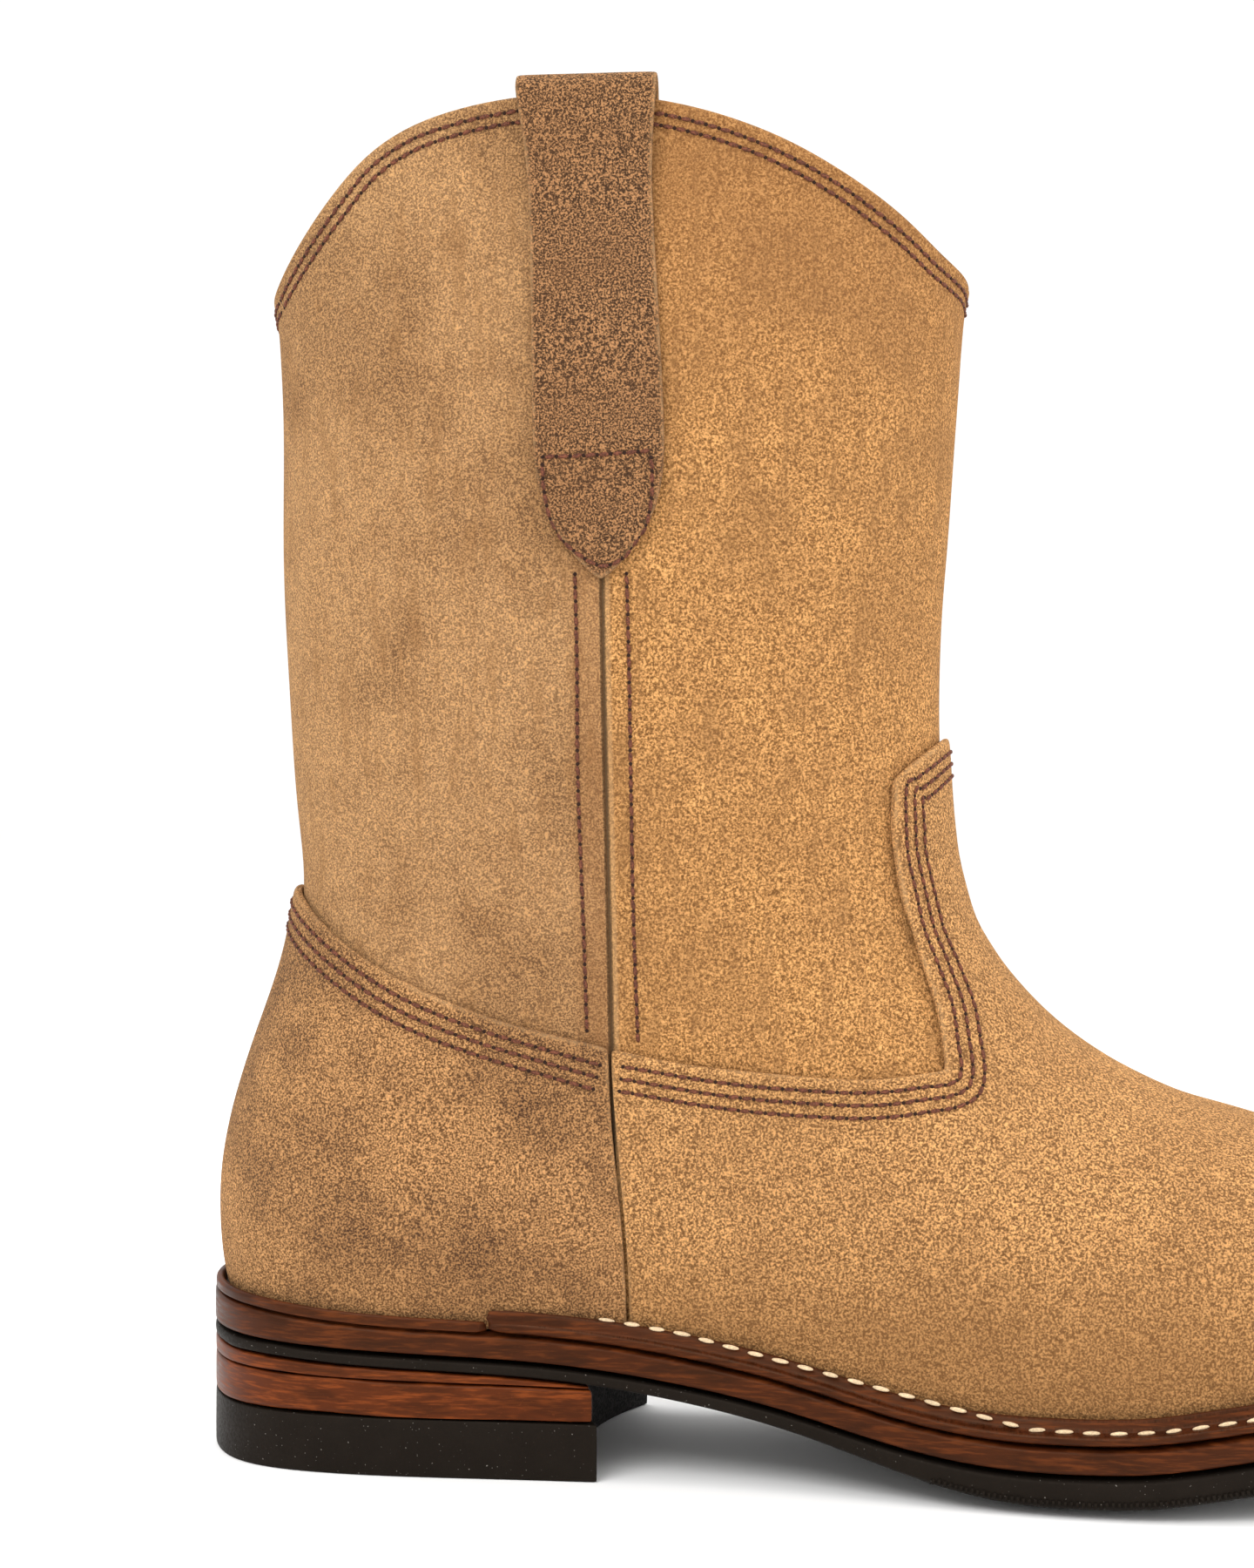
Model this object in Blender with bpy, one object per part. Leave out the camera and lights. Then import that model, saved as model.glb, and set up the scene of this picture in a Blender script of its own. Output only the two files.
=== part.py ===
"""Right roper boot, a pull-on boot on a stacked heel, built from its sole up. Metres, +Z up, +X to the toe.

The lateral side is -Y. Sizes are worked out first in the last's own frame, whose X starts at the back of the
heel, and every piece is then moved so that the origin lies under the middle of the boot, on the floor.
"""

import math

import bmesh
import bpy
from mathutils import Vector

# Lengths of the boot
SOLE_LENGTH = 0.302
BALL_WIDTH = 0.106
HEEL_WIDTH = 0.069
LEG_HEIGHT = 0.2615  # heel seat to the collar's peak
LEG_WIDTH = 0.078
COLLAR_DIP = 0.0375
TOE_SWING = 0.006  # how far the toe's middle lies to the medial side

# Sole, from the floor up
TOP_LIFT = 0.0127
HEEL_BLOCK = 0.0086
HEEL_WEDGE = 0.0040
SOLE_THIN = 0.0028
SOLE_THICK = 0.0084
SOLE_CROWN = 0.0022  # how far the tread's middle hangs below its edge
MIDSOLE = 0.0059
HEEL_PAD = 0.0017  # the midsole's extra thickness at the very back
WELT = 0.0024
WELT_BEAD = 0.0028
BEAD_WIDTH = 0.0030
TOE_SPRING = 0.0150
HEEL_LENGTH = 0.308 * SOLE_LENGTH
HEEL_FLARE = 0.0008  # how much longer each layer is than the one above
BREAST_HOLLOW = 0.0090
BREAST_SKEW = 0.0026
LIFT_TAPER = 0.0003
BLOCK_TAPER = 0.0016

# Leather
WALL = 0.0022
OVERLAY = 0.0021
STRAP = 0.0019
INSOLE = 0.0032
SWELL_RISE = 0.0180  # height over which the upper swells past its seat
FOOT_RISE = 0.0400  # height above the seat at which the foot starts to narrow to the leg
LEG_RISE = 0.0650  # height over which it does
WELT_EDGE = 0.0006  # easing of the welt's upper edge
COLLAR_FLARE = 0.0012
FLARE_DROP = 0.0060
GAP = 0.0003
SEAT_GAP = 0.0004
WELT_GAP = 0.0009  # overlay to welt, where both are made of flat faces
SEAT_REACH = 0.0027  # sole edge to the counter's face
WELT_REACH = 0.0074  # sole edge to the vamp's face
RAND_WIDTH = 0.0026

# Pull straps
STRAP_WIDTH = 0.0296
STRAP_DROP = 0.1035  # collar to the strap's outer tip
STRAP_INSIDE = 0.0560
STRAP_TIP = 0.0256
LOOP_RISE = 0.0024
STRAP_PLACE = 0.480  # share across the leg, from its back, at the fold
STRAP_LEAN = 0.030  # how much further forward the tip lies

# Mesh density
COLUMNS = 22
FOOT_ROWS = 18
LEG_ROWS = 10
SOLE_STEPS = 32

HEEL_HEIGHT = TOP_LIFT + HEEL_BLOCK + HEEL_WEDGE

# Station along the sole, then each half's width as a share of the heel's width and of the ball's width
OUTLINE = (
    # station, lateral heel, lateral ball, medial heel, medial ball
    (0.00, 0.000, 0.000, 0.000, 0.000),
    (0.02, 0.300, 0.000, 0.300, 0.000),
    (0.05, 0.415, 0.000, 0.415, 0.000),
    (0.10, 0.480, 0.000, 0.480, 0.000),
    (0.18, 0.500, 0.000, 0.498, 0.000),
    (0.25, 0.498, 0.000, 0.484, 0.000),
    (0.33, 0.375, 0.085, 0.370, 0.050),
    (0.42, 0.200, 0.225, 0.200, 0.148),
    (0.50, 0.060, 0.365, 0.060, 0.272),
    (0.58, 0.000, 0.459, 0.000, 0.388),
    (0.64, 0.000, 0.494, 0.000, 0.443),
    (0.70, 0.000, 0.513, 0.000, 0.478),
    (0.76, 0.000, 0.511, 0.000, 0.486),
    (0.82, 0.000, 0.484, 0.000, 0.460),
    (0.88, 0.000, 0.432, 0.000, 0.418),
    (0.93, 0.000, 0.361, 0.000, 0.352),
    (0.97, 0.000, 0.256, 0.000, 0.252),
    (1.00, 0.000, 0.000, 0.000, 0.000),
)

# Station, the sole's underside as a share of the heel's height and of the toe spring, share of the thick sole
UNDERSIDE = (
    # station, heel, spring, thick
    (0.00, 1.000, 0.00, 0.00),
    (0.07, 0.962, 0.00, 0.00),
    (0.13, 0.930, 0.00, 0.00),
    (0.25, 0.872, 0.00, 0.02),
    (0.31, 0.800, 0.00, 0.05),
    (0.36, 0.708, 0.00, 0.09),
    (0.42, 0.568, 0.00, 0.16),
    (0.47, 0.408, 0.00, 0.25),
    (0.50, 0.282, 0.00, 0.38),
    (0.52, 0.198, 0.00, 0.52),
    (0.54, 0.120, 0.00, 0.68),
    (0.57, 0.040, 0.00, 0.86),
    (0.594, 0.000, 0.00, 0.96),
    (0.64, 0.000, 0.00, 1.00),
    (0.67, 0.000, 0.00, 1.00),
    (0.71, 0.000, 0.11, 1.00),
    (0.76, 0.000, 0.26, 0.99),
    (0.83, 0.000, 0.49, 0.97),
    (0.90, 0.000, 0.71, 0.94),
    (1.00, 0.000, 1.00, 0.90),
)

# Back line of the upper's wall
BACK = (
    # height in legs, distance forward in soles, depth over which the back rounds, in soles
    (0.000, 0.0170, 0.105),
    (0.033, 0.0115, 0.108),
    (0.068, 0.0100, 0.110),
    (0.110, 0.0108, 0.115),
    (0.163, 0.0210, 0.125),
    (0.220, 0.0377, 0.140),
    (0.258, 0.0510, 0.155),
    (0.297, 0.0616, 0.170),
    (0.327, 0.0669, 0.180),
    (0.358, 0.0682, 0.190),
    (0.392, 0.0652, 0.195),
    (0.449, 0.0593, 0.200),
    (0.507, 0.0560, 0.205),
    (0.600, 0.0535, 0.210),
    (0.735, 0.0517, 0.210),
    (0.861, 0.0470, 0.210),
    (1.080, 0.0440, 0.210),
)

# Front line of the upper's wall, from the toe up over the vamp and instep to the collar
FRONT = (
    # distance forward in soles, height above the midsole in legs
    (0.9728, 0.0015),
    (0.9722, 0.020),
    (0.9700, 0.044),
    (0.9625, 0.077),
    (0.9480, 0.106),
    (0.9240, 0.131),
    (0.8900, 0.155),
    (0.8500, 0.173),
    (0.7800, 0.209),
    (0.7280, 0.236),
    (0.6930, 0.260),
    (0.6430, 0.2975),
    (0.6175, 0.3255),
    (0.5935, 0.354),
    (0.5750, 0.383),
    (0.5630, 0.417),
    (0.5555, 0.462),
    (0.5515, 0.514),
    (0.5495, 0.574),
    (0.5515, 0.653),
    (0.5570, 0.728),
    (0.5612, 0.805),
    (0.5665, 0.883),
    (0.5700, 0.945),
    (0.5740, 1.100),
)

# Half width of the leg at a height above the seat
LEG = (
    # height in legs, half width in leg widths
    (0.00, 0.395),
    (0.10, 0.400),
    (0.20, 0.395),
    (0.30, 0.408),
    (0.40, 0.435),
    (0.50, 0.462),
    (0.65, 0.485),
    (0.80, 0.495),
    (1.10, 0.502),
)

# How far the upper swells past its seat a little above the welt
SWELL = (
    # station, lateral in ball widths, medial in ball widths
    (0.00, 0.000, 0.000),
    (0.10, 0.014, 0.014),
    (0.25, 0.012, 0.020),
    (0.42, 0.014, 0.060),
    (0.50, 0.016, 0.046),
    (0.64, 0.024, 0.022),
    (0.76, 0.026, 0.020),
    (0.90, 0.024, 0.024),
    (1.00, 0.010, 0.010),
)

# Collar line, from the back of the leg to its front
COLLAR = (
    # share across the leg, share of the collar's dip
    (0.000, 1.000),
    (0.020, 0.945),
    (0.045, 0.835),
    (0.079, 0.685),
    (0.121, 0.500),
    (0.173, 0.290),
    (0.231, 0.155),
    (0.292, 0.080),
    (0.360, 0.028),
    (0.450, 0.000),
    (0.530, 0.020),
    (0.640, 0.115),
    (0.733, 0.255),
    (0.832, 0.470),
    (0.907, 0.680),
    (0.970, 0.870),
    (1.000, 0.950),
)

# Top edge of the counter from the back seam to the side seam, in the side view
COUNTER_TOP = (
    # distance forward in soles, height above the heel seat in legs
    (0.050, 0.366),
    (0.080, 0.336),
    (0.120, 0.301),
    (0.170, 0.268),
    (0.220, 0.246),
    (0.270, 0.229),
    (0.312, 0.219),
)

# Top edge of the vamp from the side seam to the foot of its tongue, in the side view
VAMP_TOP = (
    # distance forward in soles, height above the heel seat in legs
    (0.312, 0.219),
    (0.349, 0.211),
    (0.398, 0.203),
    (0.447, 0.198),
    (0.497, 0.195),
    (0.550, 0.200),
)

# Side edge of the vamp's tongue
TONGUE = (
    # height above the heel seat in legs, distance forward in soles
    (0.200, 0.5500),
    (0.250, 0.5440),
    (0.300, 0.5280),
    (0.350, 0.5165),
    (0.400, 0.5105),
    (0.440, 0.5120),
)
TONGUE_PEAK = 0.476  # height at the front, in legs

# Side seam that parts counter from vamp
SEAM_FOOT = 0.325
SEAM_HEAD = 0.312


def table(rows, x, column=1):
    """The value in a column at x, on a smooth curve through the rows."""
    last = len(rows) - 1
    if x <= rows[0][0]:
        return rows[0][column]
    if x >= rows[last][0]:
        return rows[last][column]
    i = max(n for n in range(last) if rows[n][0] <= x)
    x0, x1 = rows[i][0], rows[i + 1][0]
    y0, y1 = rows[i][column], rows[i + 1][column]
    slope = (y1 - y0) / (x1 - x0)

    def tangent(n):
        if n in (0, last):
            return slope
        before = (rows[n][column] - rows[n - 1][column]) / (rows[n][0] - rows[n - 1][0])
        after = (rows[n + 1][column] - rows[n][column]) / (rows[n + 1][0] - rows[n][0])
        if before * after <= 0:
            return 0.0
        return 2 * before * after / (before + after)

    t = (x - x0) / (x1 - x0)
    h = x1 - x0
    return (
        y0 * (1 + 2 * t) * (1 - t) ** 2
        + y1 * t * t * (3 - 2 * t)
        + h * tangent(i) * t * (1 - t) ** 2
        - h * tangent(i + 1) * t * t * (1 - t)
    )


def ease(x):
    """0 below 0, 1 above 1, and smooth between."""
    x = min(1.0, max(0.0, x))
    return x * x * (3 - 2 * x)


def rounding(depth, power=2.2):
    """How far a rounded edge has opened at a share of its depth."""
    u = min(1.0, max(0.0, depth))
    return (1 - (1 - u) ** power) ** (1 / power)


def turned(rows, shift=0.0):
    """A table whose first column, a share from 0 to 1, is given as an angle, so that round ends come out round."""
    return tuple((math.acos(1 - 2 * row[0]) + shift, *row[1:]) for row in rows)


OUTLINE_TURN = turned(OUTLINE)
COLLAR_TURN = turned(COLLAR)


def share(angle):
    """Share of a length at an angle from 0 at the back to pi at the front."""
    return (1 - math.cos(angle)) / 2


def angle_of(part):
    return math.acos(1 - 2 * min(1.0, max(0.0, part)))


def centre_line(x):
    """The sole's middle, which swings to the medial side towards the toe."""
    return TOE_SWING * ease((x / SOLE_LENGTH - 0.5) / 0.5)


def half_width(angle, side):
    """The sole's half width on one side, -1 lateral or +1 medial."""
    column = 1 if side < 0 else 3
    heel = table(OUTLINE_TURN, angle, column)
    ball = table(OUTLINE_TURN, angle, column + 1)
    return heel * HEEL_WIDTH + ball * BALL_WIDTH


def sole_edge(angle, side, inset=0.0):
    """A point (x, y) of the sole's outline, moved in by an inset."""
    x = inset + (SOLE_LENGTH - 2 * inset) * share(angle)
    width = half_width(angle, side)
    return x, centre_line(x) + side * max(0.0, width - inset * min(1.0, width / (0.3 * HEEL_WIDTH)))


def underside(x):
    """Height of the sole's underside above the floor."""
    station = x / SOLE_LENGTH
    height = HEEL_HEIGHT * table(UNDERSIDE, station, 1) + TOE_SPRING * table(UNDERSIDE, station, 2)
    return max(0.0, height)


def sole_top(x):
    thick = table(UNDERSIDE, x / SOLE_LENGTH, 3)
    return underside(x) + SOLE_THIN + (SOLE_THICK - SOLE_THIN) * thick


def midsole_top(x):
    return sole_top(x) + MIDSOLE + HEEL_PAD * ease(1 - x / (0.5 * HEEL_LENGTH))


SEAT = midsole_top(0.0)


def back_line(z):
    return SOLE_LENGTH * table(BACK, (z - SEAT) / LEG_HEIGHT, 1)


def front_points():
    """The front line as points (x, z), close together."""
    points = []
    steps = 6
    rows = tuple((float(n), *row) for n, row in enumerate(FRONT))
    for n in range(steps * (len(rows) - 1) + 1):
        x = SOLE_LENGTH * table(rows, n / steps, 1)
        height = LEG_HEIGHT * table(rows, n / steps, 2)
        points.append((x, midsole_top(x) + height))
    return points


FRONT_LINE = front_points()


def running_lengths(points):
    lengths = [0.0]
    for (x0, z0), (x1, z1) in zip(points, points[1:]):
        lengths.append(lengths[-1] + math.hypot(x1 - x0, z1 - z0))
    return lengths


FRONT_RUN = running_lengths(FRONT_LINE)


def front_at(run):
    """The point of the front line at a distance along it from the toe."""
    run = min(max(run, 0.0), FRONT_RUN[-1])
    i = max(n for n in range(len(FRONT_RUN) - 1) if FRONT_RUN[n] <= run)
    t = (run - FRONT_RUN[i]) / (FRONT_RUN[i + 1] - FRONT_RUN[i])
    (x0, z0), (x1, z1) = FRONT_LINE[i], FRONT_LINE[i + 1]
    return x0 + (x1 - x0) * t, z0 + (z1 - z0) * t


def leg_front(z):
    """The front line's distance forward at a height on the leg."""
    rows = [p for p in FRONT_LINE if p[1] > SEAT + 0.25 * LEG_HEIGHT]
    above = min((n for n, p in enumerate(rows) if p[1] >= z), default=len(rows) - 1)
    if above == 0:
        return rows[0][0]
    (x0, z0), (x1, z1) = rows[above - 1], rows[above]
    return x0 + (x1 - x0) * min(1.0, (z - z0) / (z1 - z0))


def ridge(x):
    """Height of the vamp's ridge at a distance forward."""
    for (x0, z0), (x1, z1) in zip(FRONT_LINE, FRONT_LINE[1:]):
        if x1 <= x <= x0:
            return z0 + (z1 - z0) * (x0 - x) / max(1e-9, x0 - x1)
    return FRONT_LINE[0][1] if x > FRONT_LINE[0][0] else FRONT_LINE[-1][1]


RIDGE_DEPTH = 0.212 * SOLE_LENGTH
ARCH_FROM = 0.66 * SOLE_LENGTH
ARCH_TO = 0.78 * SOLE_LENGTH


def front_distance(x, z):
    """Distance in the side view from a point to the front line."""
    best = 1e9
    for (x0, z0), (x1, z1) in zip(FRONT_LINE, FRONT_LINE[1:]):
        dx, dz = x1 - x0, z1 - z0
        t = ((x - x0) * dx + (z - z0) * dz) / (dx * dx + dz * dz)
        t = min(1.0, max(0.0, t))
        best = min(best, math.hypot(x - x0 - t * dx, z - z0 - t * dz))
    return best


def front_opening(x, z):
    """How far the section has opened below the ridge or behind the front line, from 0 to 1."""
    normal = front_distance(x, z) / RIDGE_DEPTH
    arch = ease((x - ARCH_FROM) / (ARCH_TO - ARCH_FROM))
    if arch <= 0:
        return rounding(normal)
    top = ridge(x)
    depth = min(RIDGE_DEPTH, max(1e-6, top - midsole_top(x)))
    return rounding(normal + arch * ((top - z) / depth - normal), 2.2 + 0.4 * arch)


def upper_half(x, z, side):
    """Half width of the upper's wall on one side at a point of the side view."""
    back = back_line(z)
    toe = SOLE_LENGTH * FRONT[0][0]
    plan = min(1.0, max(0.0, (x - back) / (toe - back)))
    angle = angle_of(plan)
    rise = max(0.0, z - midsole_top(x))
    width = half_width(angle, side)
    reach = SEAT_REACH + (WELT_REACH - SEAT_REACH) * ease((plan - 0.12) / 0.25) + OVERLAY + GAP
    foot = width * (1 - reach / (BALL_WIDTH / 2 if plan > 0.5 else HEEL_WIDTH / 2 + (BALL_WIDTH - HEEL_WIDTH) * plan))
    foot += BALL_WIDTH * table(SWELL, plan, 1 if side < 0 else 2) * ease(rise / SWELL_RISE)
    opening = front_opening(x, z)
    leg = LEG_WIDTH * table(LEG, (z - SEAT) / LEG_HEIGHT)
    depth = SOLE_LENGTH * table(BACK, (z - SEAT) / LEG_HEIGHT, 2)
    leg *= rounding((x - back) / depth)
    up = ease((rise - FOOT_RISE) / LEG_RISE)
    return opening * (foot + (leg - foot) * up)


LEG_FROM = 0.400  # where the level rows of the leg begin, in legs
BACK_FROM = 0.372


def leg_run():
    """Distance along the front line at which the leg's rows begin."""
    start = SEAT + LEG_FROM * LEG_HEIGHT
    n = min(i for i, p in enumerate(FRONT_LINE) if p[1] >= start)
    return FRONT_RUN[n]


LEG_RUN = leg_run()
BLEND_ROWS = 9


def row_point(row, turn):
    """A point (x, z) of the side view on a row of the upper, at an angle from the back to the front."""
    part = share(turn)
    up = min(1.0, row / FOOT_ROWS)
    back_rise = BACK_FROM * LEG_HEIGHT * up ** 1.1
    back_z = SEAT + SEAT_GAP + back_rise
    front_x, front_z = front_at(LEG_RUN * up)
    back_x = back_line(back_z)
    x = back_x + (front_x - back_x) * part
    front_rise = front_z - midsole_top(front_x)
    low = midsole_top(x) + SEAT_GAP * (1 - part) + back_rise + (front_rise - back_rise) * part
    high = back_z + (front_z - back_z) * part
    z = low + (high - low) * ease(row / BLEND_ROWS)
    if row <= FOOT_ROWS:
        return x, z
    peak = SEAT + LEG_HEIGHT
    rim = peak - COLLAR_DIP * table(COLLAR_TURN, turn)
    last = (row - FOOT_ROWS) / LEG_ROWS
    z = z + (rim - z) * last
    return back_line(z) + (leg_front(z) - back_line(z)) * part, z


def wall_point(row, turn):
    """A point of the upper's outer face. The turn runs from 0 at the back to -pi or pi at the front."""
    side = -1 if turn < 0 else 1
    turn = abs(turn)
    if turn > math.pi:
        turn, side = 2 * math.pi - turn, -side
    x, z = row_point(row, turn)
    return Vector((x, centre_line(x) + side * upper_half(x, z, side), z))


def wall_normal(row, turn):
    """The outward normal, held level at the seat so that edges end flat on the midsole."""
    top = FOOT_ROWS + LEG_ROWS
    low, high = max(0.0, row - 0.3), min(top, row + 0.3)
    along = wall_point(high, turn) - wall_point(low, turn)
    around = wall_point(row, turn + 0.04) - wall_point(row, turn - 0.04)
    normal = along.cross(around).normalized()
    normal.z *= ease(row / 2)
    return normal.normalized()


def skin(row, turn, offset):
    """A point at a distance outside the upper's outer face, or inside it if the offset is negative."""
    return wall_point(row, turn) + wall_normal(row, turn) * offset


# How the meshes are made


def origin_shift():
    """From the last's frame to the middle of the boot's box on the floor."""
    edges = [sole_edge(math.pi * n / 200, side)[1] for n in range(201) for side in (-1, 1)]
    return Vector((SOLE_LENGTH / 2, (max(edges) + min(edges)) / 2, 0))


ORIGIN = origin_shift()


def material(name, colour, roughness):
    made = bpy.data.materials.new(name)
    made.use_nodes = True
    shader = made.node_tree.nodes["Principled BSDF"]
    shader.inputs["Base Color"].default_value = (*colour, 1)
    shader.inputs["Roughness"].default_value = roughness
    return made


def add_piece(name, bm, finish, smooth_angle=40):
    """Moves the mesh to the boot's origin and makes it an object."""
    bmesh.ops.remove_doubles(bm, verts=bm.verts, dist=1e-6)
    bmesh.ops.recalc_face_normals(bm, faces=bm.faces)
    bmesh.ops.translate(bm, verts=bm.verts, vec=-ORIGIN)
    mesh = bpy.data.meshes.new(name)
    bm.to_mesh(mesh)
    bm.free()
    mesh.materials.append(finish)
    mesh.shade_smooth()
    mesh.set_sharp_from_angle(angle=math.radians(smooth_angle))
    piece = bpy.data.objects.new(name, mesh)
    bpy.context.scene.collection.objects.link(piece)
    return piece


def sheet(bm, rows, flip=False, closed=False):
    """Faces between rows of vertices. A row may be shorter: None marks a place that the sheet leaves out."""
    for low, high in zip(rows, rows[1:]):
        count = len(low)
        for i in range(count if closed else count - 1):
            j = (i + 1) % count
            corners = (low[i], low[j], high[j], high[i])
            if None in corners:
                continue
            bm.faces.new(corners[::-1] if flip else corners)


def shell(name, outer, inner, finish, closed=False):
    """A wall between two grids of points with the same layout, closed along every free edge."""
    bm = bmesh.new()
    grids = []
    for points in (outer, inner):
        grids.append([[p and bm.verts.new(p) for p in row] for row in points])
    sheet(bm, grids[0], closed=closed)
    twin = {v: w for a, b in zip(*grids) for v, w in zip(a, b) if v}
    free = [e for e in bm.edges if len(e.link_faces) == 1]
    sheet(bm, grids[1], flip=True, closed=closed)
    for edge in free:
        v, w = edge.verts
        bm.faces.new((v, w, twin[w], twin[v]))
    loose = [v for v in bm.verts if not v.link_faces]
    bmesh.ops.delete(bm, geom=loose, context="VERTS")
    return add_piece(name, bm, finish)


def rings(name, sections, finish, closed=False):
    """A solid through a run of closed sections with as many points each."""
    bm = bmesh.new()
    loops = [[bm.verts.new(p) for p in section] for section in sections]
    runs = list(zip(loops, loops[1:] + loops[:1])) if closed else list(zip(loops, loops[1:]))
    for a, b in runs:
        for i in range(len(a)):
            j = (i + 1) % len(a)
            bm.faces.new((a[i], a[j], b[j], b[i]))
    if not closed:
        bm.faces.new(loops[0][::-1])
        bm.faces.new(loops[-1])
    bmesh.ops.triangulate(bm, faces=[f for f in bm.faces if len(f.verts) > 4])
    return add_piece(name, bm, finish)


def plate(name, rows, low, high, finish):
    """A layer of the sole: rows of plan points (x, y) from side to side, between two heights. A height is a
    function of x and of the place across, -1 to 1."""
    bm = bmesh.new()
    last = len(rows[0]) - 1

    def layer(height):
        return [
            [bm.verts.new((x, y, height(x, 2 * c / last - 1))) for c, (x, y) in enumerate(row)] for row in rows
        ]

    top, foot = layer(high), layer(low)
    sheet(bm, top)
    sheet(bm, foot, flip=True)
    end = len(rows) - 1
    border = [(r, 0) for r in range(end + 1)]
    border += [(end, c) for c in range(1, last + 1)]
    border += [(r, last) for r in range(end - 1, -1, -1)]
    border += [(0, c) for c in range(last - 1, 0, -1)]
    for (r0, c0), (r1, c1) in zip(border, border[1:] + border[:1]):
        bm.faces.new((top[r0][c0], top[r1][c1], foot[r1][c1], foot[r0][c0]))
    return add_piece(name, bm, finish)


# Sole


def full_outline(shares=(-1.0, 1.0), steps=SOLE_STEPS):
    """Plan rows across the whole sole, from the heel to the toe, with points at shares of the half width."""
    rows = []
    for n in range(steps + 1):
        angle = math.pi * (0.012 + 0.976 * n / steps)
        row = []
        for part in shares:
            x, y = sole_edge(angle, -1 if part < 0 else 1)
            row.append((x, centre_line(x) + abs(part) * (y - centre_line(x))))
        rows.append(row)
    return rows


def heel_outline(longer=0.0, steps=9, across=6):
    """Plan rows of the heel, whose last row follows the hollow breast."""
    rows = []
    for n in range(steps + 1):
        reach = (HEEL_LENGTH + longer) * (0.0016 + 0.9984 * share(math.pi / 2 * n / steps) * 2)
        hollow = ease((n / steps - 0.25) / 0.75)
        row = []
        for k in range(across + 1):
            v = 2 * k / across - 1
            x = reach - hollow * (BREAST_HOLLOW * (1 - v * v) - BREAST_SKEW * v)
            width = half_width(angle_of(x / SOLE_LENGTH), -1 if v < 0 else 1)
            row.append((x, centre_line(x) + v * width))
        rows.append(row)
    return rows


def level(height, taper):
    """A heel layer's top, level but for the taper that it loses towards the breast."""
    return lambda x, v: height - taper * x / HEEL_LENGTH


TREAD = (-1.0, -0.88, 0.0, 0.88, 1.0)


def tread(x, v):
    """The outsole's underside: flat across its middle, and drawn up to the edge where the sole is thick."""
    edge = 1.0 if abs(v) > 0.99 else 0.0
    return underside(x) + SOLE_CROWN * edge * table(UNDERSIDE, x / SOLE_LENGTH, 3)


def make_sole(leather_edge, rubber):
    plate("outsole", full_outline(TREAD), tread, lambda x, v: sole_top(x), rubber)
    plate("midsole", full_outline(), lambda x, v: sole_top(x) + GAP, lambda x, v: midsole_top(x), leather_edge)
    lift_top = level(TOP_LIFT, LIFT_TAPER)
    block_top = level(TOP_LIFT + HEEL_BLOCK, BLOCK_TAPER)
    plate("top_lift", heel_outline(2 * HEEL_FLARE), lambda x, v: 0.0, lift_top, rubber)
    block = heel_outline(HEEL_FLARE)
    plate("heel_block", block, lambda x, v: lift_top(x, v) + GAP, block_top, leather_edge)
    wedge = heel_outline()
    plate("heel_wedge", wedge, lambda x, v: block_top(x, v) + GAP, lambda x, v: underside(x) - GAP, leather_edge)


WELT_TURN = 0.98  # angle at which the welt's ends lie


def welt_section(turn):
    """The welt cut across: flat to the sole's edge, with a bead raised against the vamp."""
    side = -1 if turn < 0 else 1
    face = OVERLAY + WELT_GAP
    inner = skin(0.0, turn, face)
    edge = Vector((*sole_edge(abs(turn), side), 0))
    out = Vector((edge.x - inner.x, edge.y - inner.y, 0))
    width = out.length
    out.normalize()
    lean = max(0.0, *((skin(row, turn, face) - inner).dot(out) for row in (0.3, 0.6, 0.9, 1.0)))

    def at(distance, rise):
        spot = inner + out * distance
        return Vector((spot.x, spot.y, midsole_top(spot.x) + GAP + rise))

    bead = min(BEAD_WIDTH, 0.55 * width)
    top = WELT + WELT_BEAD
    return [
        at(0.0, 0.0),
        at(width, 0.0),
        at(width, WELT - WELT_EDGE),
        at(width - WELT_EDGE, WELT),
        at(bead + lean + 0.7 * WELT_EDGE, WELT),
        at(bead + lean - WELT_EDGE / 3, WELT + 0.7 * WELT_BEAD),
        at(0.6 * bead + lean, top),
        at(lean + WELT_EDGE, top - WELT_EDGE),
        at(0.6 * lean + WELT_EDGE, WELT),
    ]


def rand_section(turn):
    """The rand cut across: a plain strip round the heel seat."""
    side = -1 if turn < 0 else 1
    inner = skin(0.0, turn, OVERLAY + WELT_GAP)
    edge = Vector((*sole_edge(abs(turn), side), 0))
    out = Vector((edge.x - inner.x, edge.y - inner.y, 0))
    width = out.length
    if width > RAND_WIDTH:
        inner = inner + out.normalized() * (width - RAND_WIDTH)
        width = RAND_WIDTH
    out.normalize()

    def at(distance, rise):
        spot = inner + out * distance
        return Vector((spot.x, spot.y, midsole_top(spot.x) + GAP + rise))

    return [
        at(0.0, 0.0),
        at(width, 0.0),
        at(width, WELT - WELT_EDGE),
        at(width - WELT_EDGE, WELT),
        at(0.4 * width, WELT),
        at(0.2 * width, WELT - WELT_EDGE),
    ]


def make_welt(finish):
    steps = 56
    start, end = WELT_TURN, 2 * math.pi - WELT_TURN
    sections = []
    for n in range(steps + 1):
        turn = start + (end - start) * n / steps
        sections.append(welt_section(turn if turn <= math.pi else turn - 2 * math.pi))
    rings("welt", sections, finish)
    steps = 16
    reach = WELT_TURN - 0.006
    sections = [rand_section(-reach + 2 * reach * n / steps + 1e-4) for n in range(steps + 1)]
    rings("heel_rand", sections, finish)


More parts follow.
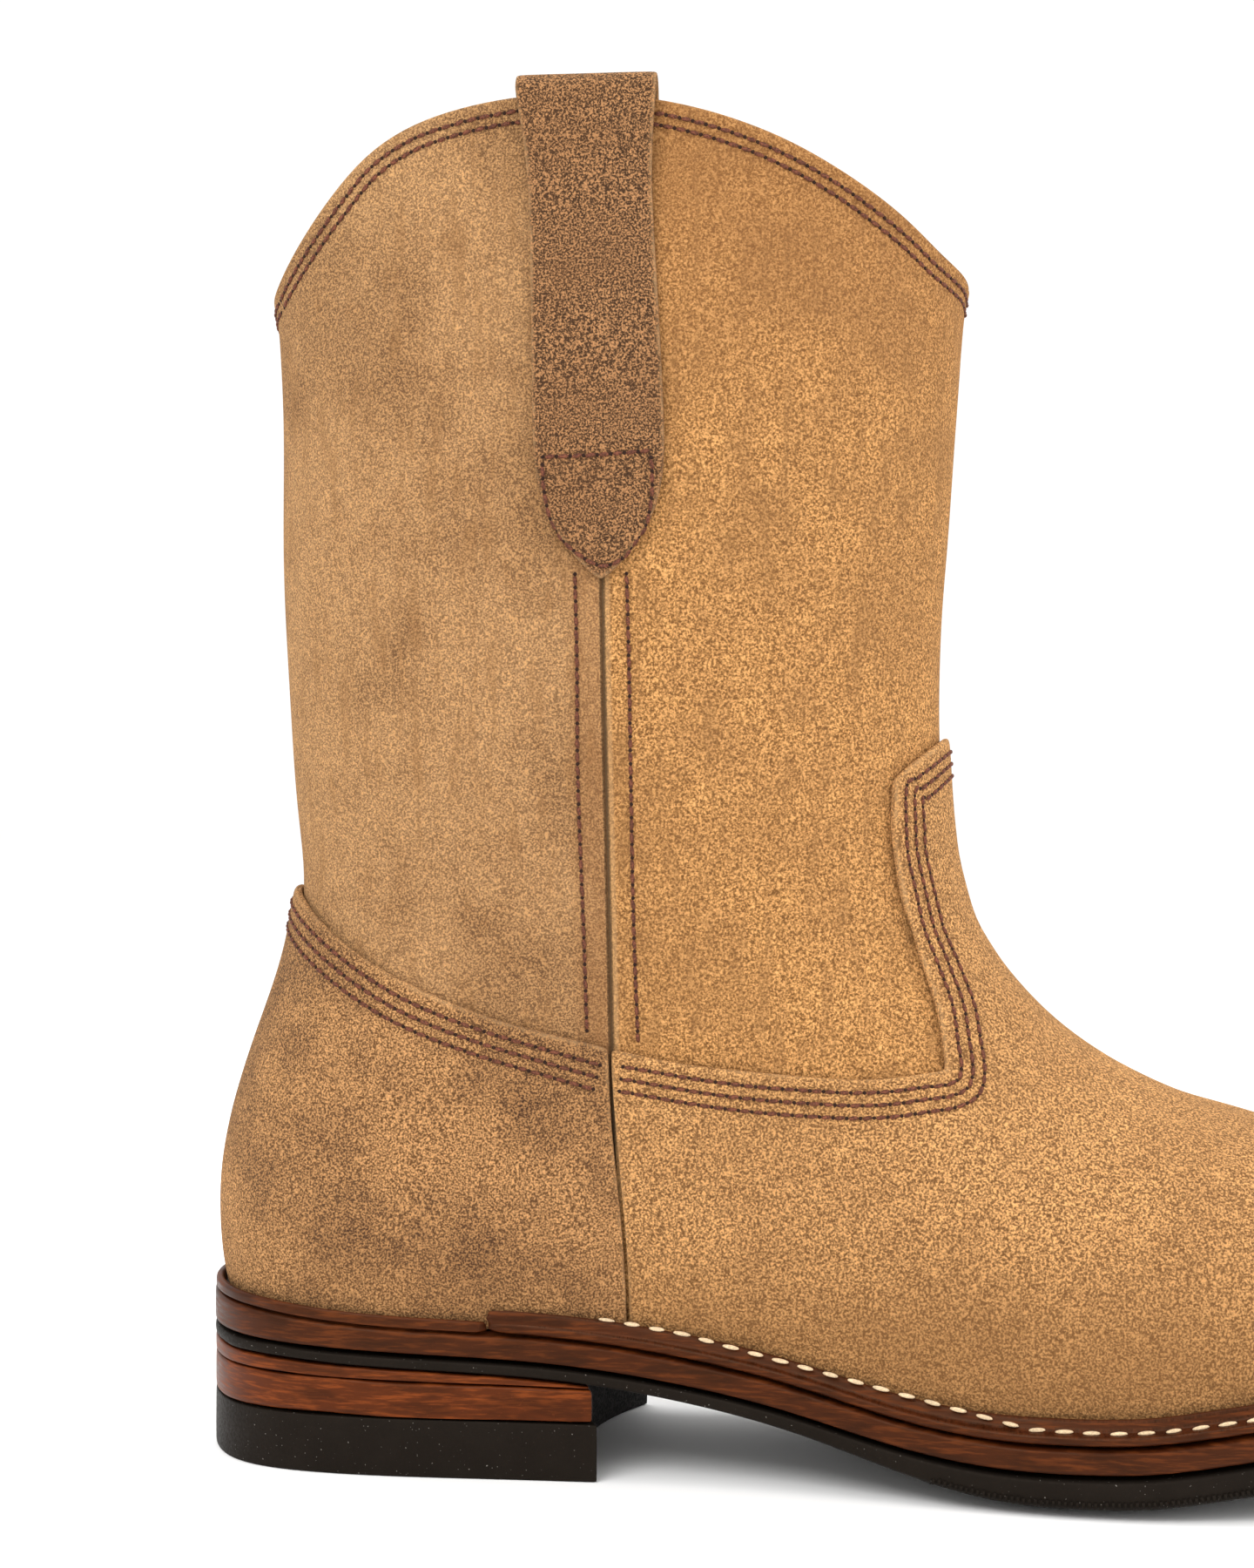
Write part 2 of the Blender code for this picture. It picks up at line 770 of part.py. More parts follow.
def make_insole(finish):
    rows = []
    inside = -(WALL + 2 * GAP)
    for n in range(25):
        turn = math.pi * (0.02 + 0.96 * n / 24)
        pair = [skin(0.0, -turn, inside), skin(0.0, turn, inside)]
        rows.append([(p.x, p.y) for p in pair])
    plate("insole", rows, lambda x, v: midsole_top(x) + GAP, lambda x, v: midsole_top(x) + INSOLE, finish)


# Upper


def full_turn(columns=COLUMNS):
    """Angles once round the boot, from the lateral back to the medial back, through the toe."""
    return [math.pi * n / columns for n in range(-columns + 1, columns + 1)]


def flare(row):
    """The collar's outward flare, in the last few millimetres of the leg."""
    return COLLAR_FLARE if row >= FOOT_ROWS + LEG_ROWS - 1e-6 else 0.0


def make_upper(finish):
    rim = FOOT_ROWS + LEG_ROWS
    below = LEG_ROWS * FLARE_DROP / (LEG_HEIGHT * (1 - LEG_FROM) - COLLAR_DIP / 2)
    levels = [float(n) for n in range(rim)] + [rim - below, float(rim)]
    outer, inner = [], []
    for row in levels:
        out = flare(row)
        outer.append([skin(row, turn, out) for turn in full_turn()])
        inner.append([skin(row, turn, out - WALL) for turn in full_turn()])
    shell("upper", outer, inner, finish, closed=True)


def solve(low, high, wanted):
    """The value between low and high at which a rising function passes nought."""
    for _ in range(28):
        middle = (low + high) / 2
        if wanted(middle) > 0:
            high = middle
        else:
            low = middle
    return (low + high) / 2


def seam_x(z):
    up = (z - SEAT) / (LEG_HEIGHT * VAMP_TOP[0][1])
    return SOLE_LENGTH * (SEAM_FOOT + (SEAM_HEAD - SEAM_FOOT) * ease(up))


def turn_at_x(row, x):
    """The angle at which a row reaches a distance forward."""
    return solve(0.0, math.pi, lambda a: row_point(row, a)[0] - x)


def row_at_height(turn, height_of_x):
    """The row at which a column reaches a line given as height over distance forward."""

    def above(row):
        x, z = row_point(row, turn)
        return z - height_of_x(x)

    return solve(0.0, FOOT_ROWS + LEG_ROWS, above)


def counter_top(x):
    return SEAT + LEG_HEIGHT * table(COUNTER_TOP, x / SOLE_LENGTH)


def vamp_top(x):
    return SEAT + LEG_HEIGHT * table(VAMP_TOP, x / SOLE_LENGTH)


def seam_turn(row, gap):
    """The side seam's angle on a row, less or more a gap."""
    turn = turn_at_x(row, seam_x(row_point(row, math.pi / 2)[1]))
    return turn_at_x(row, seam_x(row_point(row, turn)[1]) + gap)


BETWEEN = ((0.5, 0.5), (0.5, 0.0), (0.0, 0.5), (0.5, 1.0), (1.0, 0.5))


def blend(corners, u, v):
    """The point at shares u and v between four corners."""
    a, b, c, d = corners
    return (a * (1 - u) + b * u) * (1 - v) + (d * (1 - u) + c * u) * v


def overlay_grids(places):
    """Outer and inner points of an overlay from its grid of (row, turn) places. Its flat faces cut inside the
    rounded upper, so its inner points are moved out by as much as the faces beside them lack."""
    lift = [[GAP for _ in line] for line in places]
    for i in range(len(places) - 1):
        for j in range(len(places[i]) - 1):
            around = ((i, j), (i, j + 1), (i + 1, j + 1), (i + 1, j))
            if any(places[r][c] is None for r, c in around):
                continue
            spots = [Vector(places[r][c]) for r, c in around]
            points = [wall_point(*spot) for spot in spots]
            lack = 0.0
            for u, v in BETWEEN:
                spot = blend(spots, u, v)
                lack = max(lack, (wall_point(*spot) - blend(points, u, v)).dot(wall_normal(*spot)))
            for r, c in around:
                lift[r][c] = max(lift[r][c], GAP + lack)
    outer, inner = [], []
    for line, rises in zip(places, lift):
        outer.append([p and skin(p[0], p[1], OVERLAY + GAP) for p in line])
        inner.append([p and skin(p[0], p[1], rise) for p, rise in zip(line, rises)])
    return outer, inner


COUNTER_ROWS = 9
COUNTER_COLUMNS = 11


def counter_places():
    """Places of the counter's grid: from the lateral seam round the heel to the medial one."""
    lines = []
    for level in range(COUNTER_ROWS + 1):
        up = level / COUNTER_ROWS
        half = []
        for n in range(COUNTER_COLUMNS + 1):
            part = n / COUNTER_COLUMNS
            row = 9.0 * up
            for _ in range(3):
                turn = part * seam_turn(row, -GAP)
                row = up * row_at_height(turn, counter_top)
            half.append((row, turn))
        lines.append([(r, -t) for r, t in half[:0:-1]] + half)
    return lines


VAMP_ROWS = 10
SIDE_COLUMNS = 9
TONGUE_COLUMNS = 6
TONGUE_ROWS = 7


def tongue_turn(row):
    """Angle of the tongue's side edge on a row."""
    x = 0.0
    turn = 0.75 * math.pi
    for _ in range(4):
        height = (row_point(row, turn)[1] - SEAT) / LEG_HEIGHT
        x = SOLE_LENGTH * table(TONGUE, height)
        turn = turn_at_x(row, x)
    return turn


def vamp_places():
    """Places of the vamp's grid: a broad foot from seam to seam, with the tongue standing on its middle."""
    corner_x = SOLE_LENGTH * TONGUE[0][1]
    corner_row = 10.0
    for _ in range(4):
        corner_turn = turn_at_x(corner_row, corner_x)
        corner_row = row_at_height(corner_turn, vamp_top)
    lines = []
    for level in range(VAMP_ROWS + 1):
        up = level / VAMP_ROWS
        half = []
        for n in range(SIDE_COLUMNS):
            part = n / SIDE_COLUMNS
            row = corner_row * up
            for _ in range(3):
                start = seam_turn(row, GAP)
                turn = start + (corner_turn - start) * part
                row = up * row_at_height(turn, vamp_top)
            half.append((row, turn))
        for n in range(TONGUE_COLUMNS + 1):
            part = n / TONGUE_COLUMNS
            half.append((corner_row * up, corner_turn + (math.pi - corner_turn) * part))
        lines.append([(r, 2 * math.pi - t) for r, t in half] + half[-2::-1])
    peak_row = row_at_height(math.pi, lambda x: SEAT + TONGUE_PEAK * LEG_HEIGHT)
    side_row = row_at_height(corner_turn, lambda x: SEAT + TONGUE[-1][0] * LEG_HEIGHT)
    for level in range(1, TONGUE_ROWS + 1):
        up = level / TONGUE_ROWS
        half = []
        for n in range(TONGUE_COLUMNS + 1):
            part = n / TONGUE_COLUMNS
            top = side_row + (peak_row - side_row) * math.sin(part * math.pi / 2) ** 0.8
            row = corner_row + (top - corner_row) * up
            edge = tongue_turn(row)
            half.append((row, edge + (math.pi - edge) * part))
        blank = [None] * SIDE_COLUMNS
        lines.append(blank + [(r, 2 * math.pi - t) for r, t in half] + half[-2::-1] + blank)
    return lines


def make_overlays(finish):
    outer, inner = overlay_grids(vamp_places())
    shell("vamp", outer, inner, finish)
    outer, inner = overlay_grids(counter_places())
    shell("counter", outer, inner, finish)


# Pull straps


STRAP_SHAPE = (
    # share of the drop from the fold, half width in strap widths
    (0.00, 0.508),
    (0.06, 0.480),
    (0.13, 0.456),
    (0.19, 0.448),
    (0.50, 0.476),
    (0.75, 0.498),
    (1.00, 0.503),
)


def strap_half(down):
    """Half width of a strap at a distance below the collar, on the outside."""
    half = STRAP_WIDTH * table(STRAP_SHAPE, down / STRAP_DROP)
    left = max(0.0, STRAP_DROP - down) / STRAP_TIP
    return half * math.sin(min(1.0, left) * math.pi / 2) ** 0.75


STRAP_ACROSS = 6
STRAP_OUTSIDE = (0.9990, 0.985, 0.955, 0.91, 0.85, 0.76, 0.64, 0.52, 0.41, 0.31, 0.22, 0.13, 0.06)
STRAP_INNER = (0.10, 0.30, 0.50, 0.70, 0.88, 1.0)


def make_strap(name, side, finish):
    """A strap from its outer tip up the leg, over the collar and down the inside."""
    rim = float(FOOT_ROWS + LEG_ROWS)
    place = angle_of(STRAP_PLACE)
    peak = wall_point(rim, side * place)
    depth = leg_front(peak.z) - back_line(peak.z)
    out = wall_normal(rim - 0.5, side * place)
    out.z = 0
    out.normalize()
    clear = COLLAR_FLARE + 2 * GAP
    radius = (WALL + 2 * clear - COLLAR_FLARE + GAP) / 2
    spans = [2 * k / STRAP_ACROSS - 1 for k in range(STRAP_ACROSS + 1)]

    def on_leg(down, half, near, far):
        row = solve(float(FOOT_ROWS), rim, lambda r: wall_point(r, side * place).z - (peak.z - down))
        middle = STRAP_PLACE + STRAP_LEAN * down / STRAP_DROP
        turns = [side * angle_of(middle + half * v / depth) for v in spans]
        return [skin(row, turn, near) for turn in turns] + [skin(row, turn, far) for turn in turns[::-1]]

    def on_fold(angle, half):
        arm = out * math.cos(angle) + Vector((0, 0, math.sin(angle)))
        points = []
        for v in spans:
            centre = wall_point(rim, side * angle_of(STRAP_PLACE + half * v / depth)) + out * (clear - radius)
            centre.z = peak.z + LOOP_RISE - radius
            points.append(centre)
        return [p + arm * radius for p in points] + [p + arm * (radius + STRAP) for p in points[::-1]]

    sections = []
    for part in STRAP_OUTSIDE:
        lift = GAP + (clear - GAP) * ease((0.16 - part) / 0.10)
        sections.append(on_leg(STRAP_DROP * part, strap_half(STRAP_DROP * part), lift, lift + STRAP))
    sections += [on_fold(math.pi * n / 8, strap_half(0.0)) for n in range(9)]
    for part in STRAP_INNER:
        inside = -(WALL + GAP)
        half = strap_half(0.0) * (1 - 0.10 * ease(part))
        sections.append(on_leg(STRAP_INSIDE * part, half, inside, inside - STRAP))
    rings(name, sections, finish)


def make_boot():
    suede = material("suede", (0.45, 0.28, 0.13), 0.9)
    strap_suede = material("strap_suede", (0.33, 0.21, 0.12), 0.9)
    leather_edge = material("edge_leather", (0.17, 0.05, 0.02), 0.35)
    welt_leather = material("welt_leather", (0.20, 0.07, 0.02), 0.3)
    rubber = material("sole_rubber", (0.03, 0.028, 0.025), 0.6)
    insole_leather = material("insole_leather", (0.50, 0.34, 0.18), 0.6)
    make_sole(leather_edge, rubber)
    make_welt(welt_leather)
    make_insole(insole_leather)
    make_upper(suede)
    make_overlays(suede)
    make_strap("pull_strap_lateral", -1, strap_suede)
    make_strap("pull_strap_medial", 1, strap_suede)


for old in list(bpy.data.objects):
    bpy.data.objects.remove(old)
make_boot()
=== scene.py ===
"""A right-foot roper boot in roughout leather, dressed over its solids."""

import math

import bmesh
import bpy
import numpy as np
from bpy.props import FloatProperty, FloatVectorProperty, IntProperty, PointerProperty
from mathutils import Matrix, Vector
from mathutils.bvhtree import BVHTree
from mathutils.kdtree import KDTree


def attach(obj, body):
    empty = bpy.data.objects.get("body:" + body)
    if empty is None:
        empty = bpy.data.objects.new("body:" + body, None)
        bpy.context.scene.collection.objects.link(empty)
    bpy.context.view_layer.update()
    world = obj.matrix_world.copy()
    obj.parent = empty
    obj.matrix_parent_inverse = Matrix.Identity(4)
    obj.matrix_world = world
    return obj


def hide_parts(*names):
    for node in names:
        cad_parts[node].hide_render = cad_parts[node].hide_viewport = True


bl_info = {
    "name": "Roper boot",
    "version": (1, 0, 0),
    "blender": (4, 5, 0),
    "location": "3D View > Sidebar > Boot",
    "description": "Dresses a roper boot in suede, edge leather, rubber and thread",
    "category": "Object",
}

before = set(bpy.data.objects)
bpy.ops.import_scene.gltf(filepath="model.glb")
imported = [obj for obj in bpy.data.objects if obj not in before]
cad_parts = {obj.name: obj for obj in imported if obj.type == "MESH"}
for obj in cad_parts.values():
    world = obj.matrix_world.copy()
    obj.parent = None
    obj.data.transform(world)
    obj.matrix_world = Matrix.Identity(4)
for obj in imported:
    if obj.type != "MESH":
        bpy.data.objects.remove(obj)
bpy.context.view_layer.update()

# Where the side seam runs, as distance forward at two heights
SEAM_HIGH = (-0.0578, 0.194)
SEAM_LOW = (-0.0565, 0.094)

# The name of each point's distance from a cut edge
EDGE_NAME = "edge"


def colour(name, description, default):
    return FloatVectorProperty(
        name=name, description=description, subtype="COLOR", size=3, min=0, max=1, default=default,
    )


def length(name, description, default):
    return FloatProperty(
        name=name, description=description, subtype="DISTANCE", unit="LENGTH", precision=5, default=default,
    )


class BootLeather(bpy.types.PropertyGroup):
    back_panel: colour("Back panel", "Suede of the leg's back panel", (0.445, 0.254, 0.119))
    front_panel: colour("Front panel", "Suede of the leg's front panel", (0.575, 0.282, 0.092))
    vamp: colour("Vamp", "Suede of the vamp", (0.475, 0.250, 0.098))
    counter: colour("Counter", "Suede of the counter", (0.415, 0.218, 0.091))
    strap: colour("Strap", "Light fibres of the pull straps", (0.300, 0.150, 0.066))
    strap_fleck: colour("Strap fleck", "Dark flecks of the pull straps", (0.030, 0.0145, 0.0095))
    soot: colour("Smudges", "Dark fibres gathered in the smudges", (0.062, 0.029, 0.018))
    cut_edge: colour("Cut edge", "Raw edges of the suede", (0.580, 0.350, 0.165))
    nap: length("Nap", "Depth of the suede's nap", 0.0011)


class BootSole(bpy.types.PropertyGroup):
    welt: colour("Welt", "Polished top of the welt", (0.036, 0.0080, 0.0020))
    midsole: colour("Midsole edge", "Stained edge of the midsole", (0.040, 0.0085, 0.0020))
    stack: colour("Heel layers", "Stained edge of the heel's leather layers", (0.074, 0.0145, 0.0030))
    rubber: colour("Rubber", "Rubber of the sole and the top lift", (0.0068, 0.0052, 0.0040))
    fibre: colour("Breast", "Raw leather of the heel's breast", (0.016, 0.014, 0.013))
    insole: colour("Insole", "Insole leather", (0.420, 0.280, 0.150))
    rib_pitch: length("Rib pitch", "Distance between the ribs on the tread's edge", 0.0012)


class BootThread(bpy.types.PropertyGroup):
    upper: colour("Upper thread", "Thread of the upper's seams", (0.115, 0.036, 0.018))
    welt: colour("Welt thread", "Thread of the welt's seam", (0.640, 0.480, 0.300))
    pitch: length("Stitch length", "Distance from stitch to stitch on the upper", 0.0029)
    welt_pitch: length("Welt stitch length", "Distance from stitch to stitch on the welt", 0.0055)
    thickness: length("Thread thickness", "Thickness of the upper's thread", 0.00100)


class BootStage(bpy.types.PropertyGroup):
    floor: colour("Floor", "Pale floor and backdrop", (0.975, 0.972, 0.968))
    seed: IntProperty(name="Seed", description="Seed of the small irregularities", default=7)


# Shader maths


class Socket:
    """A value in a material's nodes, for writing shader maths as expressions."""

    def __init__(self, tree, link):
        self.tree = tree
        self.link = link

    def node(self, kind, settings=None, output=0, **inputs):
        """A new node of a kind, with its settings made first and then its sockets' values or links."""
        made = self.tree.nodes.new(kind)
        for key, value in (settings or {}).items():
            setattr(made, key, value)
        for key, value in inputs.items():
            name = key.replace("_", " ")
            spot = made.inputs[int(key[1:])] if key[0] == "i" and key[1:].isdigit() else made.inputs[name]
            if isinstance(value, Socket):
                self.tree.links.new(value.link, spot)
            elif spot.type == "RGBA":
                spot.default_value = (*tuple(value)[:3], 1)
            else:
                spot.default_value = value
        return Socket(self.tree, made.outputs[output])

    def maths(self, operation, first, second=0.0):
        return self.node("ShaderNodeMath", {"operation": operation}, i0=first, i1=second)

    def __add__(self, other):
        return self.maths("ADD", self, other)

    __radd__ = __add__

    def __sub__(self, other):
        return self.maths("SUBTRACT", self, other)

    def __rsub__(self, other):
        return self.maths("SUBTRACT", other, self)

    def __mul__(self, other):
        return self.maths("MULTIPLY", self, other)

    __rmul__ = __mul__

    def size(self):
        return self.maths("ABSOLUTE", self)

    def span(self, low, high, to_low=0.0, to_high=1.0):
        """This value, smoothly stepped from one range to another."""
        settings = {"interpolation_type": "SMOOTHSTEP"}
        return self.node("ShaderNodeMapRange", settings, i0=self, i1=low, i2=high, i3=to_low, i4=to_high)

    def mixed(self, first, second):
        """A colour between two, with this value as the share of the second."""
        settings = {"data_type": "RGBA"}
        return self.node("ShaderNodeMix", settings, 2, i0=self, i6=first, i7=second)

    def noise(self, vector, scale, detail=2.0, roughness=0.5, distortion=0.0):
        return self.node(
            "ShaderNodeTexNoise", None, 0,
            Vector=vector, Scale=scale, Detail=detail, Roughness=roughness, Distortion=distortion,
        )

    def stretched(self, factors):
        return self.node("ShaderNodeVectorMath", {"operation": "MULTIPLY"}, i0=self, i1=factors)

    def axis(self, name):
        return self.node("ShaderNodeSeparateXYZ", None, "XYZ".index(name), Vector=self)


def new_material(name):
    """A material, a maker of its nodes, its object coordinates and its main shader."""
    made = bpy.data.materials.new(name)
    made.use_nodes = True
    tree = made.node_tree
    shader = tree.nodes["Principled BSDF"]
    maker = Socket(tree, None)
    place = maker.node("ShaderNodeTexCoord", None, 3)
    return made, maker, place, shader


def finish_material(shader, maker, base, roughness, height=None, depth=0.0):
    """Gives a shader its colour and roughness, and its relief if there is one."""
    tree = maker.tree
    for name, value in (("Base Color", base), ("Roughness", roughness)):
        if isinstance(value, Socket):
            tree.links.new(value.link, shader.inputs[name])
        else:
            shader.inputs[name].default_value = (*value, 1) if name == "Base Color" else value
    if height is not None:
        bump = maker.node("ShaderNodeBump", None, 0, Strength=1.0, Distance=depth, Height=height)
        tree.links.new(bump.link, shader.inputs["Normal"])


def tone(shade, factor):
    """A colour times one factor, or times one for each channel."""
    factors = factor if isinstance(factor, tuple) else (factor,) * len(shade)
    return tuple(min(1.0, c * f) for c, f in zip(shade, factors))


def edge_distance(maker):
    """Each point's distance from a cut edge, in millimetres, as the piece itself holds it."""
    return maker.node("ShaderNodeAttribute", {"attribute_name": EDGE_NAME}, 2)


# Noise scales are waves in a metre, tints multiply a leather's own colour, and the rest are plain colours
NAP_SCALE = 2300
FRONT_NAP_SCALE = 1850
CLUMP_SCALE = 640
STREAK_SCALE = 300
BLOTCH_SCALE = 95
PATCH_SCALE = 26
FIBRE_SCALE = 1500
BAND_SCALE = 300
GRAIN_SCALE = 1700
CLOUD_SCALE = 240
RUBBER_SCALE = 1400
WEAR_SCALE = 90
DUST_SCALE = 2100
ROOT_TINT = (0.22, 0.155, 0.11)
TIP_TINT = (2.00, 1.97, 1.86)
SMUDGE_TINT = (0.56, 0.50, 0.46)
STREAK_TINT = (0.55, 0.50, 0.46)
# Painted shade: tint of the shade behind the side seam and high on the front panel
PAINTED_SHADE_TINT = (0.55, 0.44, 0.38)
LOW_TINT = (0.42, 0.36, 0.30)
# Painted shade: tint of the shade in the side seam's groove
GROOVE_SHADE_TINT = (0.13, 0.10, 0.09)
PALE_TINT = (2.7, 3.0, 2.6)
DUST = (0.36, 0.33, 0.29)
RIM_LIGHT = (1.0, 0.72, 0.42, 1)
LEATHER_GLINT = (1.0, 0.62, 0.40, 1)
WELT_GLINT = (1.0, 0.70, 0.45, 1)
RUBBER_GLINT = (1.0, 0.80, 0.64, 1)


def past_seam(place):
    """How far forward of the side seam a point lies, in millimetres."""
    lean = (SEAM_HIGH[0] - SEAM_LOW[0]) / (SEAM_HIGH[1] - SEAM_LOW[1])
    return (place.axis("X") - ((place.axis("Z") - SEAM_LOW[1]) * lean + SEAM_LOW[0])) * 1000.0


def suede(
    name, shade, fleck, mottle, soot=0.3, low=0.0, streak=0.0, coarse=1.0, fleck_colour=None, seam=False,
):
    """Roughout leather: fine nap with dark roots and light tips, smudges, and fuzzy, paler raw edges.

    Fleck is the strength of the dark roots, mottle of the smudges, soot of the dark fibres in them, low of
    the darkening near the sole and streak of the upright streaks. Seam makes two panels, the groove
    between them with painted shade in it, a band of painted shade behind the seam and painted shade high
    on the front panel.
    """
    leather = bpy.context.scene.boot_leather
    made, maker, place, shader = new_material(name)
    height_above = place.axis("Z")
    nap = maker.noise(place, NAP_SCALE / coarse, 3.0, 0.66, 0.2)
    clumps = maker.noise(place, CLUMP_SCALE / coarse, 3.0, 0.6, 0.3)
    patches = maker.noise(place, PATCH_SCALE, 4.0, 0.62)
    blotches = maker.noise(place, BLOTCH_SCALE, 3.0, 0.6)
    base = tuple(shade)
    tip_share = 0.86
    if seam:
        past = past_seam(place)
        front = past.span(-0.15, 0.35)
        base = front.mixed(tuple(leather.back_panel), tuple(leather.front_panel))
        nap = nap * (1 - front) + maker.noise(place, FRONT_NAP_SCALE, 4.0, 0.72, 0.3) * front
        fleck = front * (0.34 * fleck) + 0.66 * fleck
        tip_share = front * 0.40 + 0.48
        soot = (1 - front * 0.85) * soot
    # A strap's flecks have sharper borders and gather more in clumps
    roots, start, border, clumped = tone(shade, ROOT_TINT), 0.44, 0.18, 0.30
    if fleck_colour:
        roots, start, border, clumped = fleck_colour, 0.45, 0.10, 0.6
    body = ((1 - nap).span(start, start + border) * fleck).mixed(base, roots)
    body = ((1 - clumps).span(0.50, 0.66) * (fleck * clumped)).mixed(body, roots)
    body = (nap.span(0.47, 0.65) * tip_share).mixed(body, tone(shade, TIP_TINT))
    smudge = patches.span(0.42, 0.62) * mottle + blotches.span(0.48, 0.68) * (mottle * 0.5)
    body = (smudge * 0.8).mixed(body, tone(shade, SMUDGE_TINT))
    body = (smudge * (1 - nap).span(0.45, 0.58) * soot).mixed(body, leather.soot)
    if streak:
        brushed = maker.noise(place.stretched((1.0, 1.0, 0.14)), STREAK_SCALE, 3.0, 0.6)
        body = (brushed.span(0.50, 0.68) * streak).mixed(body, tone(shade, STREAK_TINT))
    if low:
        body = ((1 - height_above.span(0.028, 0.062)) * low).mixed(body, tone(shade, LOW_TINT))
    height = nap * 0.7 + clumps * 0.6 + blotches * 0.5
    if seam:
        # Painted shade: a band on the back panel behind the seam, and the front panel darker towards the
        # collar
        beside = past.span(-9.0, -4.5) * (1 - past.span(-1.0, 0.0))
        painted_shade = front * height_above.span(0.205, 0.285) * 0.45 + beside * 0.30
        body = painted_shade.mixed(body, tone(shade, PAINTED_SHADE_TINT))
        # Painted shade in the seam's groove, which the bump also sinks
        groove = 1 - past.size().span(0.15, 0.75)
        body = (groove * 0.85).mixed(body, tone(leather.front_panel, GROOVE_SHADE_TINT))
        body = ((1 - (past - 1.1).size().span(0.2, 0.9)) * 0.40).mixed(body, leather.cut_edge)
        height = height + front * 2.0 - groove * 2.0
    fuzz = edge_distance(maker) + (nap - 0.5) * 2.2 + (clumps - 0.5) * 1.4
    body = ((1 - fuzz.span(0.0, 0.9)) * 0.50).mixed(body, leather.cut_edge)
    finish_material(shader, maker, body, 0.93, height, leather.nap)
    shader.inputs["Specular IOR Level"].default_value = 0.06
    shader.inputs["Sheen Weight"].default_value = 0.12
    shader.inputs["Sheen Roughness"].default_value = 0.5
    shader.inputs["Sheen Tint"].default_value = RIM_LIGHT
    return made


def layered_leather(name, shade, gloss):
    """Burnished edge of sole leather: long fibres along the edge, with paler streaks."""
    made, maker, place, shader = new_material(name)
    along = maker.noise(place.stretched((0.10, 0.10, 1.0)), FIBRE_SCALE, 4.0, 0.6)
    broad = maker.noise(place.stretched((0.25, 0.25, 1.0)), BAND_SCALE, 3.0, 0.55)
    specks = maker.noise(place, FIBRE_SCALE, 2.0, 0.5)
    body = (along.span(0.44, 0.66) * 0.8).mixed(shade, tone(shade, PALE_TINT))
    body = (broad.span(0.44, 0.66) * 0.7).mixed(body, tone(shade, 0.42))
    body = (specks.span(0.66, 0.74) * 0.25).mixed(body, tone(shade, 2.2))
    edge = edge_distance(maker)
    rim = 1 - (edge + (along - 0.5) * 0.5).span(0.15, 0.75)
    body = (rim * 0.25).mixed(body, tone(shade, 2.2))
    height = along * 0.6 + broad * 0.5
    rough = along.span(0.3, 0.7, gloss, gloss + 0.20)
    finish_material(shader, maker, body, rough, height, 0.00010)
    shader.inputs["Specular IOR Level"].default_value = 0.22
    shader.inputs["Specular Tint"].default_value = LEATHER_GLINT
    return made


def welt_leather(name, shade):
    """Dark polished welt with fine grain across it and an amber rim."""
    made, maker, place, shader = new_material(name)
    grain = maker.noise(place.stretched((1.0, 0.35, 0.35)), GRAIN_SCALE, 3.0, 0.6)
    broad = maker.noise(place, CLOUD_SCALE, 3.0, 0.55)
    body = (grain.span(0.42, 0.64) * 0.5).mixed(shade, tone(shade, 2.4))
    body = (broad.span(0.45, 0.7) * 0.6).mixed(body, tone(shade, 0.45))
    edge = edge_distance(maker)
    body = ((1 - edge.span(0.1, 0.6)) * 0.30).mixed(body, tone(shade, 2.4))
    height = grain * 0.7 + broad * 0.4
    finish_material(shader, maker, body, grain.span(0.3, 0.7, 0.26, 0.42), height, 0.00007)
    shader.inputs["Specular IOR Level"].default_value = 0.20
    shader.inputs["Specular Tint"].default_value = WELT_GLINT
    return made


def sole_rubber(name, shade):
    """Black rubber with a dull skin and a few pale specks of dust."""
    made, maker, place, shader = new_material(name)
    fine = maker.noise(place, RUBBER_SCALE, 3.0, 0.6)
    broad = maker.noise(place, WEAR_SCALE, 3.0, 0.6)
    dust = maker.noise(place, DUST_SCALE, 1.0, 0.5)
    body = broad.span(0.35, 0.7).mixed(shade, tone(shade, 1.3))
    body = (dust.span(0.745, 0.79) * 0.5).mixed(body, DUST)
    finish_material(shader, maker, body, fine.span(0.3, 0.7, 0.44, 0.62), fine + broad * 0.6, 0.00006)
    shader.inputs["Specular IOR Level"].default_value = 0.10
    shader.inputs["Specular Tint"].default_value = RUBBER_GLINT
    return made


def plain_fibre(name, shade, scale, depth, roughness, spread):
    """Thread, raw leather or insole: fibres with light and dark strands."""
    made, maker, place, shader = new_material(name)
    strands = maker.noise(place, scale, 3.0, 0.65, 0.6)
    broad = maker.noise(place, scale * 0.16, 2.0, 0.5)
    body = strands.span(0.38, 0.66).mixed(tone(shade, 1 - spread * 0.6), tone(shade, 1 + spread))
    body = (broad.span(0.45, 0.7) * 0.3).mixed(body, tone(shade, 0.6))
    finish_material(shader, maker, body, roughness, strands, depth)
    shader.inputs["Specular IOR Level"].default_value = 0.25
    return made


# Modelling

# Finished pieces by name, and the cages their seams are found on by node
PIECES = {}
CAGES = {}

# How a CAD copy is merged, eased and rounded
MERGED = 2e-5
SHARP = math.radians(50)
EASED = math.radians(38)
LEVELS = 2

# How finely cut edges are sampled, in metres, and how far their distance is kept, in millimetres
EDGE_STEP = 0.0012
EDGE_LIMIT = 9.0

# Outward faces are told from inward ones by the leg's axis above a height, and by the foot's middle below it
LEG_FROM = 0.13
LEG_AXIS = -0.0575
FOOT_HEART = Vector((-0.02, 0.0, 0.06))
FOOT_LINE = (-0.06, 0.10)
INWARD = -0.002

